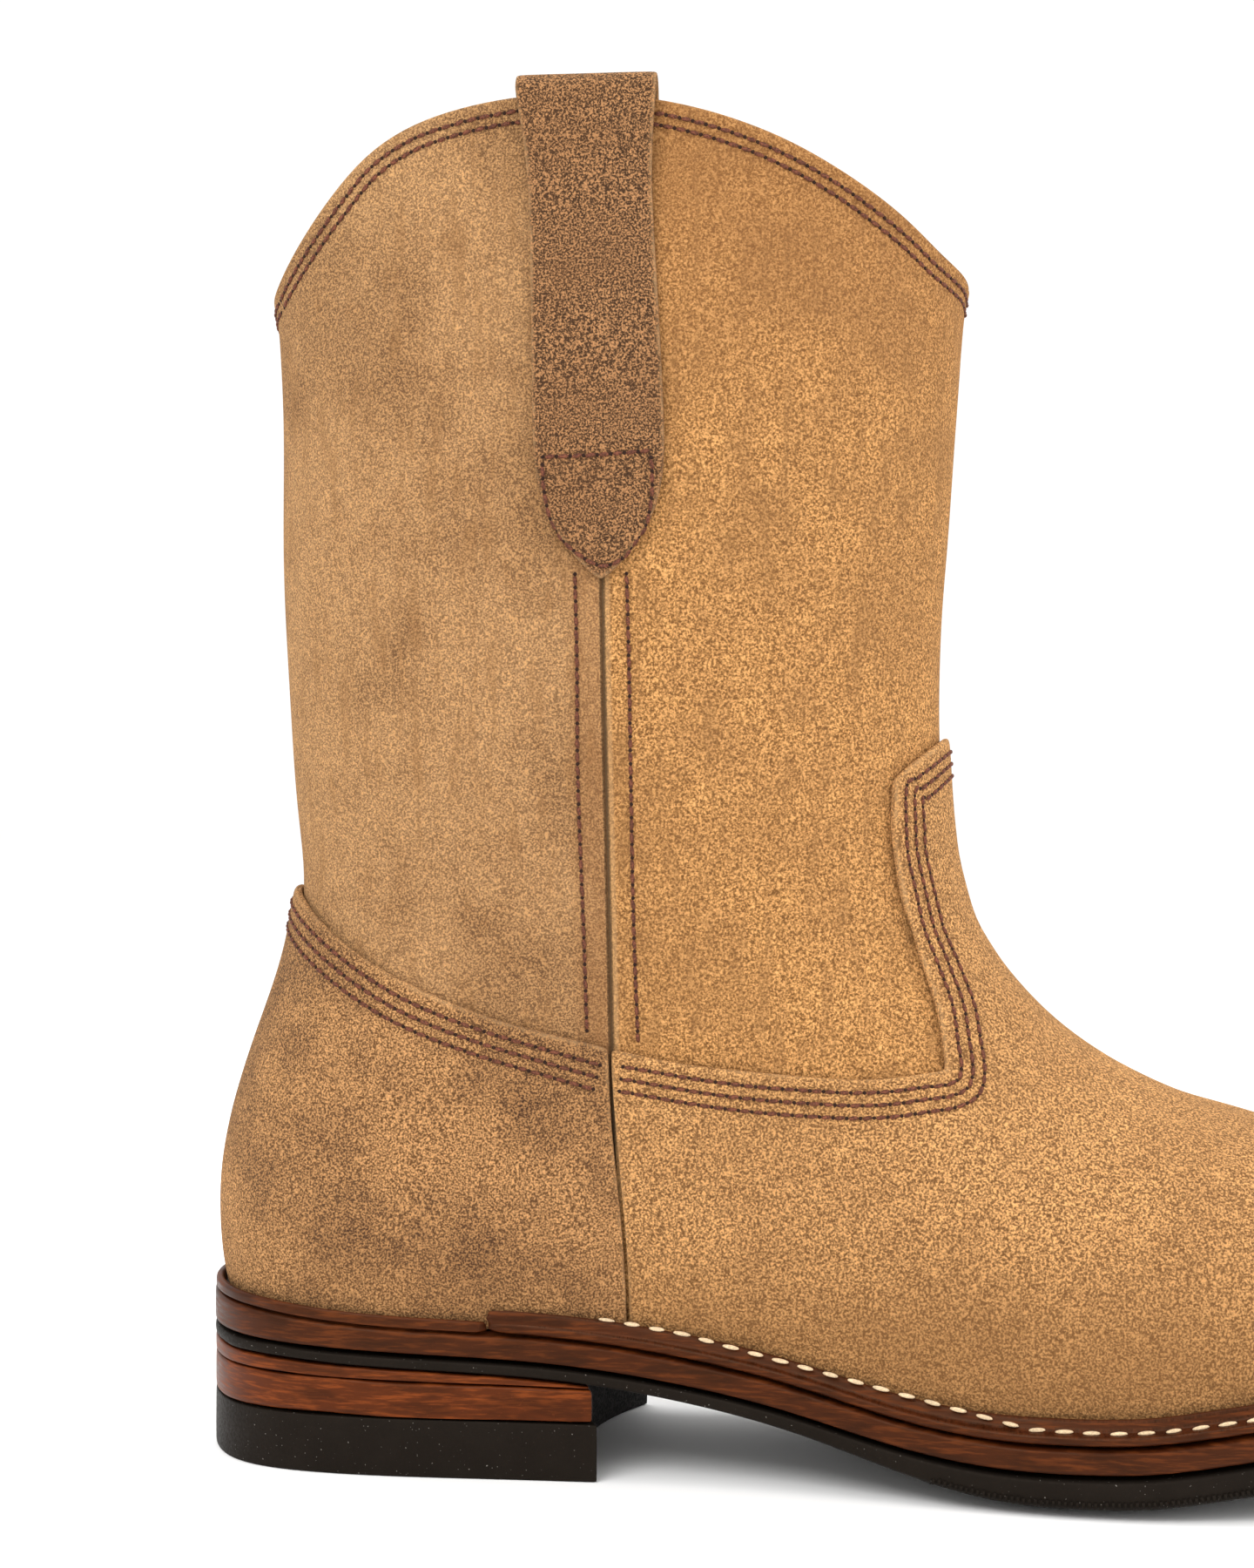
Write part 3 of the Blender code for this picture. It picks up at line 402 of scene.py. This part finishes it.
# A skin face beside a cut edge is this much larger than the wall's
SKIN_RATIO = 1.6

# Seams: the step along a curve, and the distance from which rays look at the boot
FINE_STEP = 0.0006
OUTSIDE = 0.3
TINY = 1e-9
STITCH_SPREAD = 0.05

# Middle, reach and depth of each crease, at the ankle in front and behind, and over the ball
CREASES = (
    ((0.013, -0.020, 0.118), (0.016, 0.030, 0.0040), 0.00045),
    ((0.010, -0.024, 0.134), (0.015, 0.028, 0.0045), 0.00035),
    ((0.013, 0.020, 0.121), (0.016, 0.030, 0.0042), 0.00040),
    ((-0.098, -0.022, 0.137), (0.026, 0.022, 0.0055), 0.00040),
    ((-0.098, 0.022, 0.139), (0.026, 0.022, 0.0055), 0.00040),
    ((0.072, -0.026, 0.060), (0.0060, 0.026, 0.020), 0.00035),
    ((0.086, 0.024, 0.058), (0.0065, 0.026, 0.020), 0.00035),
)

# The slack's height, and where it fades out below the collar and above the sole
SLACK = 0.00035
FINE_SLACK = 0.00018
SLACK_SHARE = 0.9
RIM = 0.290
RIM_FADE = 0.02
SOLE_LINE = 0.045
SOLE_FADE = 0.025


def only(piece):
    """Selects one object and nothing else."""
    bpy.ops.object.select_all(action="DESELECT")
    piece.hide_set(False)
    piece.select_set(True)
    bpy.context.view_layer.objects.active = piece


def copied(node, name):
    """A merged copy of a CAD node, with its triangles joined into quads."""
    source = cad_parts[node]
    piece = bpy.data.objects.new(name, source.data.copy())
    bpy.context.scene.collection.objects.link(piece)
    only(piece)
    bpy.ops.object.mode_set(mode="EDIT")
    bpy.ops.mesh.select_all(action="SELECT")
    bpy.ops.mesh.remove_doubles(threshold=MERGED)
    half_turn = math.radians(180)
    bpy.ops.mesh.tris_convert_to_quads(face_threshold=math.radians(70), shape_threshold=half_turn)
    bpy.ops.object.mode_set(mode="OBJECT")
    piece.data.materials.clear()
    return piece


def modified(piece, kind, **settings):
    """Adds a modifier and applies it."""
    only(piece)
    added = piece.modifiers.new(kind.title(), kind)
    for key, value in settings.items():
        setattr(added, key, value)
    bpy.ops.object.modifier_apply(modifier=added.name)


def sharp_edges(piece):
    """Points close together along a piece's cut edges."""
    mesh = bmesh.new()
    mesh.from_mesh(piece.data)
    points = []
    for edge in mesh.edges:
        if len(edge.link_faces) == 2 and edge.calc_face_angle() > SHARP:
            a, b = (v.co.copy() for v in edge.verts)
            count = max(2, int((b - a).length / EDGE_STEP))
            points += [a.lerp(b, n / count) for n in range(count + 1)]
    mesh.free()
    return points


def mark_edges(piece, points):
    """Stores each point's distance from the cut edges, in millimetres, for the material."""
    tree = KDTree(len(points))
    for n, point in enumerate(points):
        tree.insert(point, n)
    tree.balance()
    mark = piece.data.attributes.new(EDGE_NAME, "FLOAT", "POINT")
    far = [min(EDGE_LIMIT, tree.find(v.co)[2] * 1000) for v in piece.data.vertices]
    mark.data.foreach_set("value", far)


def shifted(piece, rule):
    """Moves each point along its normal by what a rule gives for its place and normal."""
    mesh = piece.data
    count = len(mesh.vertices)
    places, normals = np.empty(count * 3), np.empty(count * 3)
    mesh.vertices.foreach_get("co", places)
    mesh.vertices.foreach_get("normal", normals)
    places, normals = places.reshape(-1, 3), normals.reshape(-1, 3)
    places = places + normals * rule(places, normals)[:, None]
    mesh.vertices.foreach_set("co", places.ravel())
    mesh.update()


def bulge(places, middle, reach):
    """A soft bump that is 1 at its middle and fades over its reach along each axis."""
    return np.exp(-(((places - np.array(middle)) / np.array(reach)) ** 2).sum(1))


def waves(places, normals):
    """The slack of a real leg and vamp: broad hollows, and soft creases at the ankle and the ball."""
    x, y, z = places.T
    slack = SLACK * np.sin(x * 61 + z * 23 + 1.3) * np.sin(z * 47 - x * 19 + np.sign(y) * 0.9)
    slack += FINE_SLACK * np.sin(x * 148 - z * 91 + 2.1 + y * 40)
    for middle, reach, depth in CREASES:
        slack -= depth * bulge(places, middle, reach)
    rim = np.clip((RIM - z) / RIM_FADE, 0, 1)
    low = np.clip((z - SOLE_LINE) / SOLE_FADE, 0, 1)
    return slack * rim * low * SLACK_SHARE


def placed(piece, replaced, slot, *materials):
    """Gives a finished piece its materials and its place in the frame."""
    only(piece)
    bpy.ops.object.shade_smooth()
    for made in materials:
        piece.data.materials.append(made)
    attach(piece, "root")
    if replaced:
        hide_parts(*replaced)
    return piece


def dressed(node, name, bevel, rule=None, segments=1):
    """A node's copy with eased edges and a smooth surface. Its cage is kept for the seams."""
    piece = copied(node, name)
    CAGES[node] = piece.data.copy()
    points = sharp_edges(piece)
    if bevel:
        modified(
            piece, "BEVEL", width=bevel, segments=segments, limit_method="ANGLE",
            angle_limit=EASED, use_clamp_overlap=True,
        )
    modified(piece, "SUBSURF", levels=LEVELS, render_levels=LEVELS)
    if rule:
        shifted(piece, rule)
    mark_edges(piece, points)
    return piece


def heart(place):
    """A point inside the boot, on the leg's axis or in the foot's middle."""
    return Vector((LEG_AXIS, 0.0, place.z)) if place.z > LEG_FROM else FOOT_HEART


def faces_inward(face):
    """Whether a face of the upper looks into the boot."""
    behind, ahead = FOOT_LINE
    x = LEG_AXIS if face.center.z > LEG_FROM else min(ahead, max(behind, face.center.x))
    return face.normal.dot(face.center - Vector((x, 0, face.center.z))) < INWARD


def quad_area(face):
    """A face's area, or twice a triangle's, which is half of a quad."""
    return face.calc_area() * (2 if len(face.verts) == 3 else 1)


def surface(piece):
    """A search tree over a finished piece."""
    places = [v.co.copy() for v in piece.data.vertices]
    return BVHTree.FromPolygons(places, [tuple(p.vertices) for p in piece.data.polygons])


def cut_loop(node, keep):
    """The longest run of a node's outer cut edge that passes a test, as points with directions inward."""
    mesh = bmesh.new()
    mesh.from_mesh(CAGES[node])
    links, inward = {}, {}
    for edge in mesh.edges:
        if len(edge.link_faces) != 2 or edge.calc_face_angle() < SHARP:
            continue
        skin, wall = sorted(edge.link_faces, key=lambda f: -quad_area(f))
        middle = (edge.verts[0].co + edge.verts[1].co) / 2
        if quad_area(skin) < SKIN_RATIO * quad_area(wall) or skin.normal.dot(middle - heart(middle)) < 0:
            continue
        if not all(keep(v.co) for v in edge.verts):
            continue
        along = (edge.verts[1].co - edge.verts[0].co).normalized()
        into = skin.calc_center_median() - middle
        into = (into - along * into.dot(along)).normalized()
        for vert in edge.verts:
            links.setdefault(vert.index, []).append(edge.other_vert(vert).index)
            inward[vert.index] = inward.get(vert.index, Vector()) + into
    spots = {v.index: v.co.copy() for v in mesh.verts}
    mesh.free()
    best, seen = [], set()
    for start in sorted(links, key=lambda n: len(links[n])):
        if start in seen:
            continue
        run, here = [start], start
        seen.add(start)
        while True:
            onward = [n for n in links[here] if n not in seen]
            if not onward:
                break
            here = onward[0]
            seen.add(here)
            run.append(here)
        if len(run) > len(best):
            best = run
    return [(spots[n], inward[n].normalized()) for n in best]


def smoothed(points):
    """Points along a smooth curve through given points, a step apart."""
    points = [np.array(p) for p in points]
    padded = [2 * points[0] - points[1], *points, 2 * points[-1] - points[-2]]
    fine = []
    for a, b, c, d in zip(padded, padded[1:], padded[2:], padded[3:]):
        count = max(2, int(np.linalg.norm(c[:3] - b[:3]) / FINE_STEP))
        for n in range(count):
            t = n / count
            bend = (2 * a - 5 * b + 4 * c - d) * t * t
            fine.append(0.5 * (2 * b + (c - a) * t + bend + (3 * b - a - 3 * c + d) * t ** 3))
    fine.append(points[-1])
    return fine


def row_inside(loop, distance, tree, overrun=0.0):
    """A seam's points and normals at a distance inside a cut edge, run on past both its ends."""
    row = []
    if overrun:
        (first, into_first), (second, _) = loop[:2]
        (before, _), (last, into_last) = loop[-2:]
        ahead = first + (first - second).normalized() * overrun
        beyond = last + (last - before).normalized() * overrun
        loop = [(ahead, into_first), *loop, (beyond, into_last)]
    for values in smoothed([(*p, *d) for p, d in loop]):
        spot = Vector(values[:3]) + Vector(values[3:]).normalized() * distance
        hit, normal, _, _ = tree.find_nearest(spot)
        if hit is not None:
            row.append((hit, normal))
    return row


def row_seen(places, side, tree):
    """A seam's points and normals where a line of side-view places meets a surface on one side."""
    row = []
    for x, z in smoothed(places):
        hit, normal, _, _ = tree.ray_cast(Vector((x, side * OUTSIDE, z)), Vector((0, -side, 0)))
        if hit is not None:
            row.append((hit, normal))
    return row


def spaced(row, pitch, start=0.5):
    """Frames along a row, a pitch apart: place, direction and normal."""
    frames, run, due = [], 0.0, pitch * start
    for (a, n), (b, _) in zip(row, row[1:]):
        step = (b - a).length
        while step > TINY and run + step >= due:
            frames.append((a.lerp(b, (due - run) / step), (b - a).normalized(), n))
            due += pitch
        run += step
    return frames


def outline_aims(share, count):
    """Directions outward from the sole's middle, round the toe, over a share of each half turn."""
    for n in range(count + 1):
        turn = math.pi * (-share + 2 * share * n / count)
        yield Vector((math.cos(turn), math.sin(turn) * SOLE_NARROWNESS, 0)).normalized()


def unit_shape(kind, **settings):
    """Points and faces of a primitive."""
    getattr(bpy.ops.mesh, kind)(**settings)
    piece = bpy.context.object
    points = np.array([v.co[:] for v in piece.data.vertices])
    faces = [tuple(p.vertices) for p in piece.data.polygons]
    bpy.data.objects.remove(piece)
    return points, faces


def repeated(name, shape, frames, size, lift, tilt=0.0, jitter=0.0):
    """One mesh of a shape set at each frame: its length along the row, its width across and its height."""
    points, faces = shape
    chance = np.random.default_rng(bpy.context.scene.boot_stage.seed)
    all_points, all_faces = [], []
    for place, along, normal in frames:
        across = normal.cross(along).normalized()
        along = across.cross(normal).normalized()
        turn = Matrix.Rotation(tilt + chance.normal(0, jitter), 3, normal)
        across, along = turn @ across, turn @ along
        grow = 1 + chance.normal(0, STITCH_SPREAD) if jitter else 1.0
        frame_axes = np.array([along * size[0] * grow, across * size[1], normal * size[2]])
        first = len(all_points) * len(points)
        all_points.append(points @ frame_axes + np.array(place + normal * lift))
        all_faces += [tuple(first + n for n in face) for face in faces]
    mesh = bpy.data.meshes.new(name)
    mesh.from_pydata(np.concatenate(all_points).tolist(), [], all_faces)
    piece = bpy.data.objects.new(name, mesh)
    bpy.context.scene.collection.objects.link(piece)
    return piece


# Operators

# Rays round the sole are squeezed sideways, because it is narrower than it is long
SOLE_NARROWNESS = 0.42

# Ribs: how rays from outside find the foot of the tread's edge, where the ribs begin, and their size
RIB_SHARE = 0.72
RIB_RAYS = 900
RIB_STEPS = 45
RIB_LOW = 0.0002
RIB_STEP = 0.0003
RIB_CENTRE = Vector((0.02, 0, 0))
RIB_FROM = 0.012
RIB_REACH = 0.0004
RIB_RISE = 0.0006
RIB_SIZE = (0.0006, 0.0011, 0.0015)

# Faces of the heel's breast look forward more than this, and lie ahead of this place
BREAST_FACING = 0.75
BREAST_FROM = -0.08

# Faces of the welt that look up more than this are its polished top
WELT_UP = 0.5

# The welt's seam: where rays meet the midsole's side, how far in it lies and how far back it runs
WELT_SHARE = 0.86
WELT_RAYS = 1600
WELT_HEIGHTS = (0.0115, 0.013, 0.016, 0.019, 0.022, 0.025, 0.028)
WELT_INSET = 0.0022
WELT_TOP = 0.06
WELT_LEVEL = 0.8
WELT_BACK = -0.078
WELT_STEEP = 0.3
WELT_STITCH = (0.0037, 0.0011, 0.0009)

# Where the stitched cut edges lie, as the lowest height and the limit fore or aft
VAMP_EDGE = (0.0855, -0.0520)
COUNTER_EDGE = (0.0915, -0.0615)
COLLAR_EDGE = 0.245
COLLAR_GAP = 0.03

# Distances of the rows from their edges, and how far the rows run on past the edges' ends
ROW_DISTANCES = (0.0030, 0.0057, 0.0084)
COLLAR_DISTANCES = (0.0033, 0.0056)
VAMP_OVERRUN = 0.0064
COUNTER_OVERRUN = 0.0125

# A stitch's length is a share of the pitch, and its height one of its width;
# painted shadows of the needle holes lie between the stitches
STITCH_LENGTH = 0.84
STITCH_HEIGHT = 0.8
STITCH_LIFT = 0.0001
STITCH_START = 0.9
HOLE_START = 0.4
# The holes are dark discs of painted shadow: their size, lift and colour
HOLE_SHADOW_SIZE = (0.0009, 0.0009, 0.0004)
HOLE_SHADOW_LIFT = 0.00005
HOLE_SHADOW_COLOUR = (0.026, 0.011, 0.007)

# Side-view lines (x, z) of the stitches beside the side seam and across the strap
SEAM_ROWS = (
    ((-0.0636, 0.196), (-0.0632, 0.175), (-0.0632, 0.150), (-0.0624, 0.120), (-0.0618, 0.0960)),
    ((-0.0525, 0.196), (-0.0520, 0.175), (-0.0518, 0.150), (-0.0515, 0.120), (-0.0508, 0.0950)),
)
STRAP_SHIELD = (
    (-0.0702, 0.2190), (-0.0698, 0.2120), (-0.0678, 0.2045), (-0.0628, 0.1990), (-0.0570, 0.1963),
    (-0.0516, 0.1992), (-0.0481, 0.2050), (-0.0468, 0.2120), (-0.0470, 0.2200),
)
STRAP_ROW = ((-0.0712, 0.2195), (-0.0590, 0.2198), (-0.0472, 0.2205))

# Name, place, aim, size and power of each light
LIGHTS = (
    ("key_light", (-0.55, -0.95, 1.15), (0.0, 0.0, 0.10), (0.9, 0.7), 11.0),
    ("side_light", (1.05, -0.45, 0.70), (0.0, 0.0, 0.12), (0.7, 0.9), 6.0),
    ("top_light", (0.0, 0.25, 1.30), (0.0, 0.0, 0.10), (1.2, 0.8), 8.0),
)
WORLD_COLOUR = (1.0, 0.995, 0.985, 1)
WORLD_STRENGTH = 1.06
FLOOR_SIZE = 14.0
FOCAL_LENGTH = 54.4
CAMERA_PLACE = (-0.004, -0.5412, 0.150)
CAMERA_TURN = (math.radians(90), 0, math.radians(5.5))


class BOOT_OT_leg(bpy.types.Operator):
    """The leg and the foot's inner wall"""

    bl_idname = "boot.leg"
    bl_label = "Leg"

    def execute(self, context):
        leather = context.scene.boot_leather
        piece = dressed("upper", "leg_panels", bevel=0.0005, rule=waves)
        shade = tuple((a + b) / 2 for a, b in zip(leather.back_panel, leather.front_panel))
        made = suede("leg_suede", shade, fleck=0.86, streak=0.36, mottle=0.42, soot=1.0, seam=True)
        lining = plain_fibre(
            "lining_leather", leather.cut_edge,
            scale=900, depth=0.0001, roughness=0.75, spread=0.25,
        )
        placed(piece, ["upper"], "suede", made, lining)
        for face in piece.data.polygons:
            face.material_index = int(faces_inward(face))
        PIECES["leg"] = piece
        return {"FINISHED"}


class BOOT_OT_overlays(bpy.types.Operator):
    """The vamp and the counter"""

    bl_idname = "boot.overlays"
    bl_label = "Vamp and counter"

    def execute(self, context):
        leather = context.scene.boot_leather
        vamp = dressed("vamp", "vamp_overlay", bevel=0.00055, rule=waves)
        made = suede("vamp_suede", leather.vamp, fleck=0.82, mottle=0.26, coarse=1.15, low=0.45)
        PIECES["vamp"] = placed(vamp, ["vamp"], "suede", made)
        counter = dressed("counter", "counter_overlay", bevel=0.00055, rule=waves)
        made = suede("counter_suede", leather.counter, fleck=0.88, mottle=0.56, soot=1.3, low=0.25)
        PIECES["counter"] = placed(counter, ["counter"], "suede", made)
        return {"FINISHED"}


class BOOT_OT_straps(bpy.types.Operator):
    """The two pull straps"""

    bl_idname = "boot.straps"
    bl_label = "Pull straps"

    def execute(self, context):
        leather = context.scene.boot_leather
        made = suede(
            "strap_suede", leather.strap, fleck=0.90, fleck_colour=tuple(leather.strap_fleck), mottle=0.20,
        )
        for side in ("lateral", "medial"):
            piece = dressed("pull_strap_" + side, "strap_" + side, bevel=0.0004)
            PIECES[side] = placed(piece, ["pull_strap_" + side], "strap_suede", made)
        return {"FINISHED"}


class BOOT_OT_sole(bpy.types.Operator):
    """The midsole, the outsole with its ribbed edge, and the insole"""

    bl_idname = "boot.sole"
    bl_label = "Sole"

    def execute(self, context):
        sole = context.scene.boot_sole
        edge = layered_leather("midsole_edge", tuple(sole.midsole), 0.36)
        rubber = sole_rubber("sole_rubber", tuple(sole.rubber))
        midsole = dressed("midsole", "midsole_leather", bevel=0.0002)
        PIECES["midsole"] = placed(midsole, ["midsole"], "edge_leather", edge)
        outsole = dressed("outsole", "outsole_rubber", bevel=0.0005)
        PIECES["outsole"] = placed(outsole, ["outsole"], "sole_rubber", rubber)
        inner = plain_fibre(
            "insole_leather", tuple(sole.insole),
            scale=700, depth=0.00012, roughness=0.7, spread=0.2,
        )
        placed(dressed("insole", "insole_board", bevel=0.0006), ["insole"], "insole_leather", inner)
        self.ribs(sole, rubber)
        return {"FINISHED"}

    def ribs(self, sole, rubber):
        """Short upright ribs round the forefoot, low on the tread's edge."""
        tree = surface(PIECES["outsole"])
        row = []
        for aim in outline_aims(RIB_SHARE, RIB_RAYS):
            hits = []
            for step in range(RIB_STEPS):
                start = RIB_CENTRE + aim * OUTSIDE + Vector((0, 0, RIB_LOW + step * RIB_STEP))
                hit, normal, _, away = tree.ray_cast(start, -aim)
                if hit is not None and hit.x > RIB_FROM:
                    hits.append((away, hit, normal))
            if hits:
                nearest = min(away for away, _, _ in hits)
                _, hit, normal = next(found for found in hits if found[0] < nearest + RIB_REACH)
                row.append((hit + Vector((0, 0, RIB_RISE)), Vector((normal.x, normal.y, 0)).normalized()))
        block = unit_shape("primitive_cube_add", size=1)
        piece = repeated("tread_ribs", block, spaced(row, sole.rib_pitch), RIB_SIZE, 0.0)
        placed(piece, None, "sole_rubber", rubber)


class BOOT_OT_welt(bpy.types.Operator):
    """The storm welt and the heel rand"""

    bl_idname = "boot.welt"
    bl_label = "Welt and rand"

    def execute(self, context):
        sole = context.scene.boot_sole
        made = welt_leather("welt_polish", tuple(sole.welt))
        side = layered_leather("welt_edge", tuple(sole.midsole), 0.33)
        piece = placed(dressed("welt", "storm_welt", bevel=0.0), ["welt"], "welt_leather", made, side)
        for face in piece.data.polygons:
            face.material_index = int(face.normal.z < WELT_UP)
        PIECES["welt"] = piece
        rand = dressed("heel_rand", "heel_rand_strip", bevel=0.0002)
        placed(rand, ["heel_rand"], "welt_leather", side)
        return {"FINISHED"}


class BOOT_OT_heel(bpy.types.Operator):
    """The heel's leather layers and its rubber top lift"""

    bl_idname = "boot.heel"
    bl_label = "Heel"

    def execute(self, context):
        sole = context.scene.boot_sole
        stack = layered_leather("heel_stack_edge", tuple(sole.stack), 0.33)
        rubber = sole_rubber("lift_rubber", tuple(sole.rubber))
        fibre = plain_fibre(
            "breast_fibre", tuple(sole.fibre),
            scale=1300, depth=0.0006, roughness=0.97, spread=1.2,
        )
        for node, name, slot, made, bevel, segments in (
            ("heel_wedge", "heel_top_layer", "edge_leather", stack, 0.0002, 1),
            ("heel_block", "heel_low_layer", "edge_leather", stack, 0.0002, 1),
            ("top_lift", "heel_top_lift", "sole_rubber", rubber, 0.0010, 2),
        ):
            piece = dressed(node, name, bevel=bevel, segments=segments)
            placed(piece, [node], slot, made, fibre)
            for face in piece.data.polygons:
                if face.normal.x > BREAST_FACING and face.center.x > BREAST_FROM:
                    face.material_index = 1
        return {"FINISHED"}


class BOOT_OT_stitches(bpy.types.Operator):
    """All the thread: seams of the upper and straps, and the welt's seam"""

    bl_idname = "boot.stitches"
    bl_label = "Stitches"

    def execute(self, context):
        thread = context.scene.boot_thread
        sewn = ("leg", "vamp", "counter", "lateral", "medial", "welt")
        trees = {name: surface(PIECES[name]) for name in sewn}
        rows = self.upper_rows(trees)
        capsule = unit_shape("primitive_uv_sphere_add", segments=8, ring_count=5, radius=0.5)
        disc = unit_shape("primitive_uv_sphere_add", segments=6, ring_count=4, radius=0.5)
        stitches, holes = [], []
        for row in rows:
            stitches += spaced(row, thread.pitch, STITCH_START)
            holes += spaced(row, thread.pitch, HOLE_START)
        size = (thread.pitch * STITCH_LENGTH, thread.thickness, thread.thickness * STITCH_HEIGHT)
        piece = repeated("upper_stitches", capsule, stitches, size, STITCH_LIFT, tilt=0.09, jitter=0.05)
        made = plain_fibre(
            "upper_thread", tuple(thread.upper),
            scale=2600, depth=0.0001, roughness=0.7, spread=0.9,
        )
        placed(piece, None, "suede", made)
        # Dark discs of painted shadow in the needle holes between the stitches
        piece = repeated("stitch_hole_shadows", disc, holes, HOLE_SHADOW_SIZE, HOLE_SHADOW_LIFT)
        made = plain_fibre(
            "hole_shadow", HOLE_SHADOW_COLOUR,
            scale=1500, depth=0.0001, roughness=0.95, spread=0.3,
        )
        placed(piece, None, "suede", made)
        self.welt_seam(thread, trees["welt"])
        return {"FINISHED"}

    def upper_rows(self, trees):
        """Rows along the tops of the vamp and the counter, round the collar, and on both sides."""
        rows = []
        height, back = VAMP_EDGE
        vamp_top = cut_loop("vamp", lambda p: p.z > height and p.x > back)
        low, front = COUNTER_EDGE
        counter_top = cut_loop("counter", lambda p: p.z > low and p.x < front)
        collar = cut_loop("upper", lambda p: p.z > COLLAR_EDGE)
        for distance in ROW_DISTANCES:
            rows.append(row_inside(vamp_top, distance, trees["vamp"], VAMP_OVERRUN))
            rows.append(row_inside(counter_top, distance, trees["counter"], COUNTER_OVERRUN))
        if (collar[0][0] - collar[-1][0]).length < COLLAR_GAP:
            collar.append(collar[0])
        for distance in COLLAR_DISTANCES:
            rows.append(row_inside(collar, distance, trees["leg"]))
        for side, name in ((-1, "lateral"), (1, "medial")):
            for line in SEAM_ROWS:
                rows.append(row_seen(line, side, trees["leg"]))
            for line in (STRAP_SHIELD, STRAP_ROW):
                rows.append(row_seen(line, side, trees[name]))
        return rows

    def welt_seam(self, thread, tree):
        """Pale lock stitches along the welt, found by looking down on it inside the midsole's outline."""
        midsole = surface(PIECES["midsole"])
        row = []
        for aim in outline_aims(WELT_SHARE, WELT_RAYS):
            start = aim * OUTSIDE
            casts = [midsole.ray_cast(Vector((start.x, start.y, height)), -aim) for height in WELT_HEIGHTS]
            found = [(hit, normal) for hit, normal, _, _ in casts if hit is not None]
            if not found:
                continue
            place, normal = min(found, key=lambda pair: (pair[0] - start).length)
            flat = Vector((normal.x, normal.y, 0))
            if flat.length < WELT_STEEP:
                continue
            spot = place - flat.normalized() * WELT_INSET
            hit, up, _, _ = tree.ray_cast(Vector((spot.x, spot.y, WELT_TOP)), Vector((0, 0, -1)))
            if hit is not None and up.z > WELT_LEVEL and hit.x > WELT_BACK:
                row.append((hit, up))
        drop = unit_shape("primitive_uv_sphere_add", segments=10, ring_count=6, radius=0.5)
        frames = spaced(row, thread.welt_pitch)
        piece = repeated("welt_stitches", drop, frames, WELT_STITCH, STITCH_LIFT, tilt=0.10, jitter=0.04)
        made = plain_fibre(
            "welt_thread", tuple(thread.welt),
            scale=2300, depth=0.00012, roughness=0.75, spread=0.25,
        )
        placed(piece, None, "welt_leather", made)


class BOOT_OT_stage(bpy.types.Operator):
    """The pale floor, the soft lights and the camera"""

    bl_idname = "boot.stage"
    bl_label = "Stage"

    def execute(self, context):
        scene = context.scene
        stage = scene.boot_stage
        bpy.ops.object.select_all(action="DESELECT")
        bpy.ops.mesh.primitive_plane_add(size=FLOOR_SIZE, location=(0, 0, 0))
        floor = context.object
        floor.name = "floor"
        made, maker, place, shader = new_material("floor_white")
        cloud = maker.noise(place, 3.0, 2.0, 0.5)
        body = cloud.mixed(tone(stage.floor, 0.99), tuple(stage.floor))
        finish_material(shader, maker, body, 0.7)
        floor.data.materials.append(made)
        scene.view_settings.view_transform = "Standard"
        scene.view_settings.look = "None"
        world = bpy.data.worlds.new("studio")
        scene.world = world
        world.use_nodes = True
        backdrop = world.node_tree.nodes["Background"]
        backdrop.inputs["Color"].default_value = WORLD_COLOUR
        backdrop.inputs["Strength"].default_value = WORLD_STRENGTH
        for name, place, aim, size, power in LIGHTS:
            data = bpy.data.lights.new(name, "AREA")
            data.shape = "RECTANGLE"
            data.size, data.size_y = size
            data.energy = power
            lamp = bpy.data.objects.new(name, data)
            lamp.location = place
            lamp.rotation_euler = (Vector(aim) - Vector(place)).to_track_quat("-Z", "Y").to_euler()
            scene.collection.objects.link(lamp)
        lens = bpy.data.cameras.new("camera")
        lens.lens = FOCAL_LENGTH
        lens.sensor_width = 36.0
        lens.clip_start = 0.01
        camera = bpy.data.objects.new("camera", lens)
        camera.location = CAMERA_PLACE
        camera.rotation_euler = CAMERA_TURN
        scene.collection.objects.link(camera)
        scene.camera = camera
        return {"FINISHED"}


class BOOT_PT_panel(bpy.types.Panel):
    """Lists the boot's steps and values"""

    bl_label = "Boot"
    bl_idname = "BOOT_PT_panel"
    bl_space_type = "VIEW_3D"
    bl_region_type = "UI"
    bl_category = "Boot"

    def draw(self, context):
        for group in GROUPS:
            box = self.layout.box()
            values = getattr(context.scene, group)
            for name in values.bl_rna.properties.keys():
                if name not in ("rna_type", "name"):
                    box.prop(values, name)
        for step in STEPS:
            self.layout.operator(step.bl_idname)


GROUPS = {
    "boot_leather": BootLeather,
    "boot_sole": BootSole,
    "boot_thread": BootThread,
    "boot_stage": BootStage,
}

STEPS = (
    BOOT_OT_stage,
    BOOT_OT_leg,
    BOOT_OT_overlays,
    BOOT_OT_straps,
    BOOT_OT_sole,
    BOOT_OT_welt,
    BOOT_OT_heel,
    BOOT_OT_stitches,
)


def register():
    for made in (*GROUPS.values(), *STEPS, BOOT_PT_panel):
        bpy.utils.register_class(made)
    for name, made in GROUPS.items():
        setattr(bpy.types.Scene, name, PointerProperty(type=made))


def unregister():
    for name in GROUPS:
        delattr(bpy.types.Scene, name)
    for made in (BOOT_PT_panel, *reversed(STEPS), *reversed(list(GROUPS.values()))):
        bpy.utils.unregister_class(made)


def main():
    register()
    for step in STEPS:
        group, name = step.bl_idname.split(".")
        getattr(getattr(bpy.ops, group), name)()


if __name__ == "__main__":
    main()
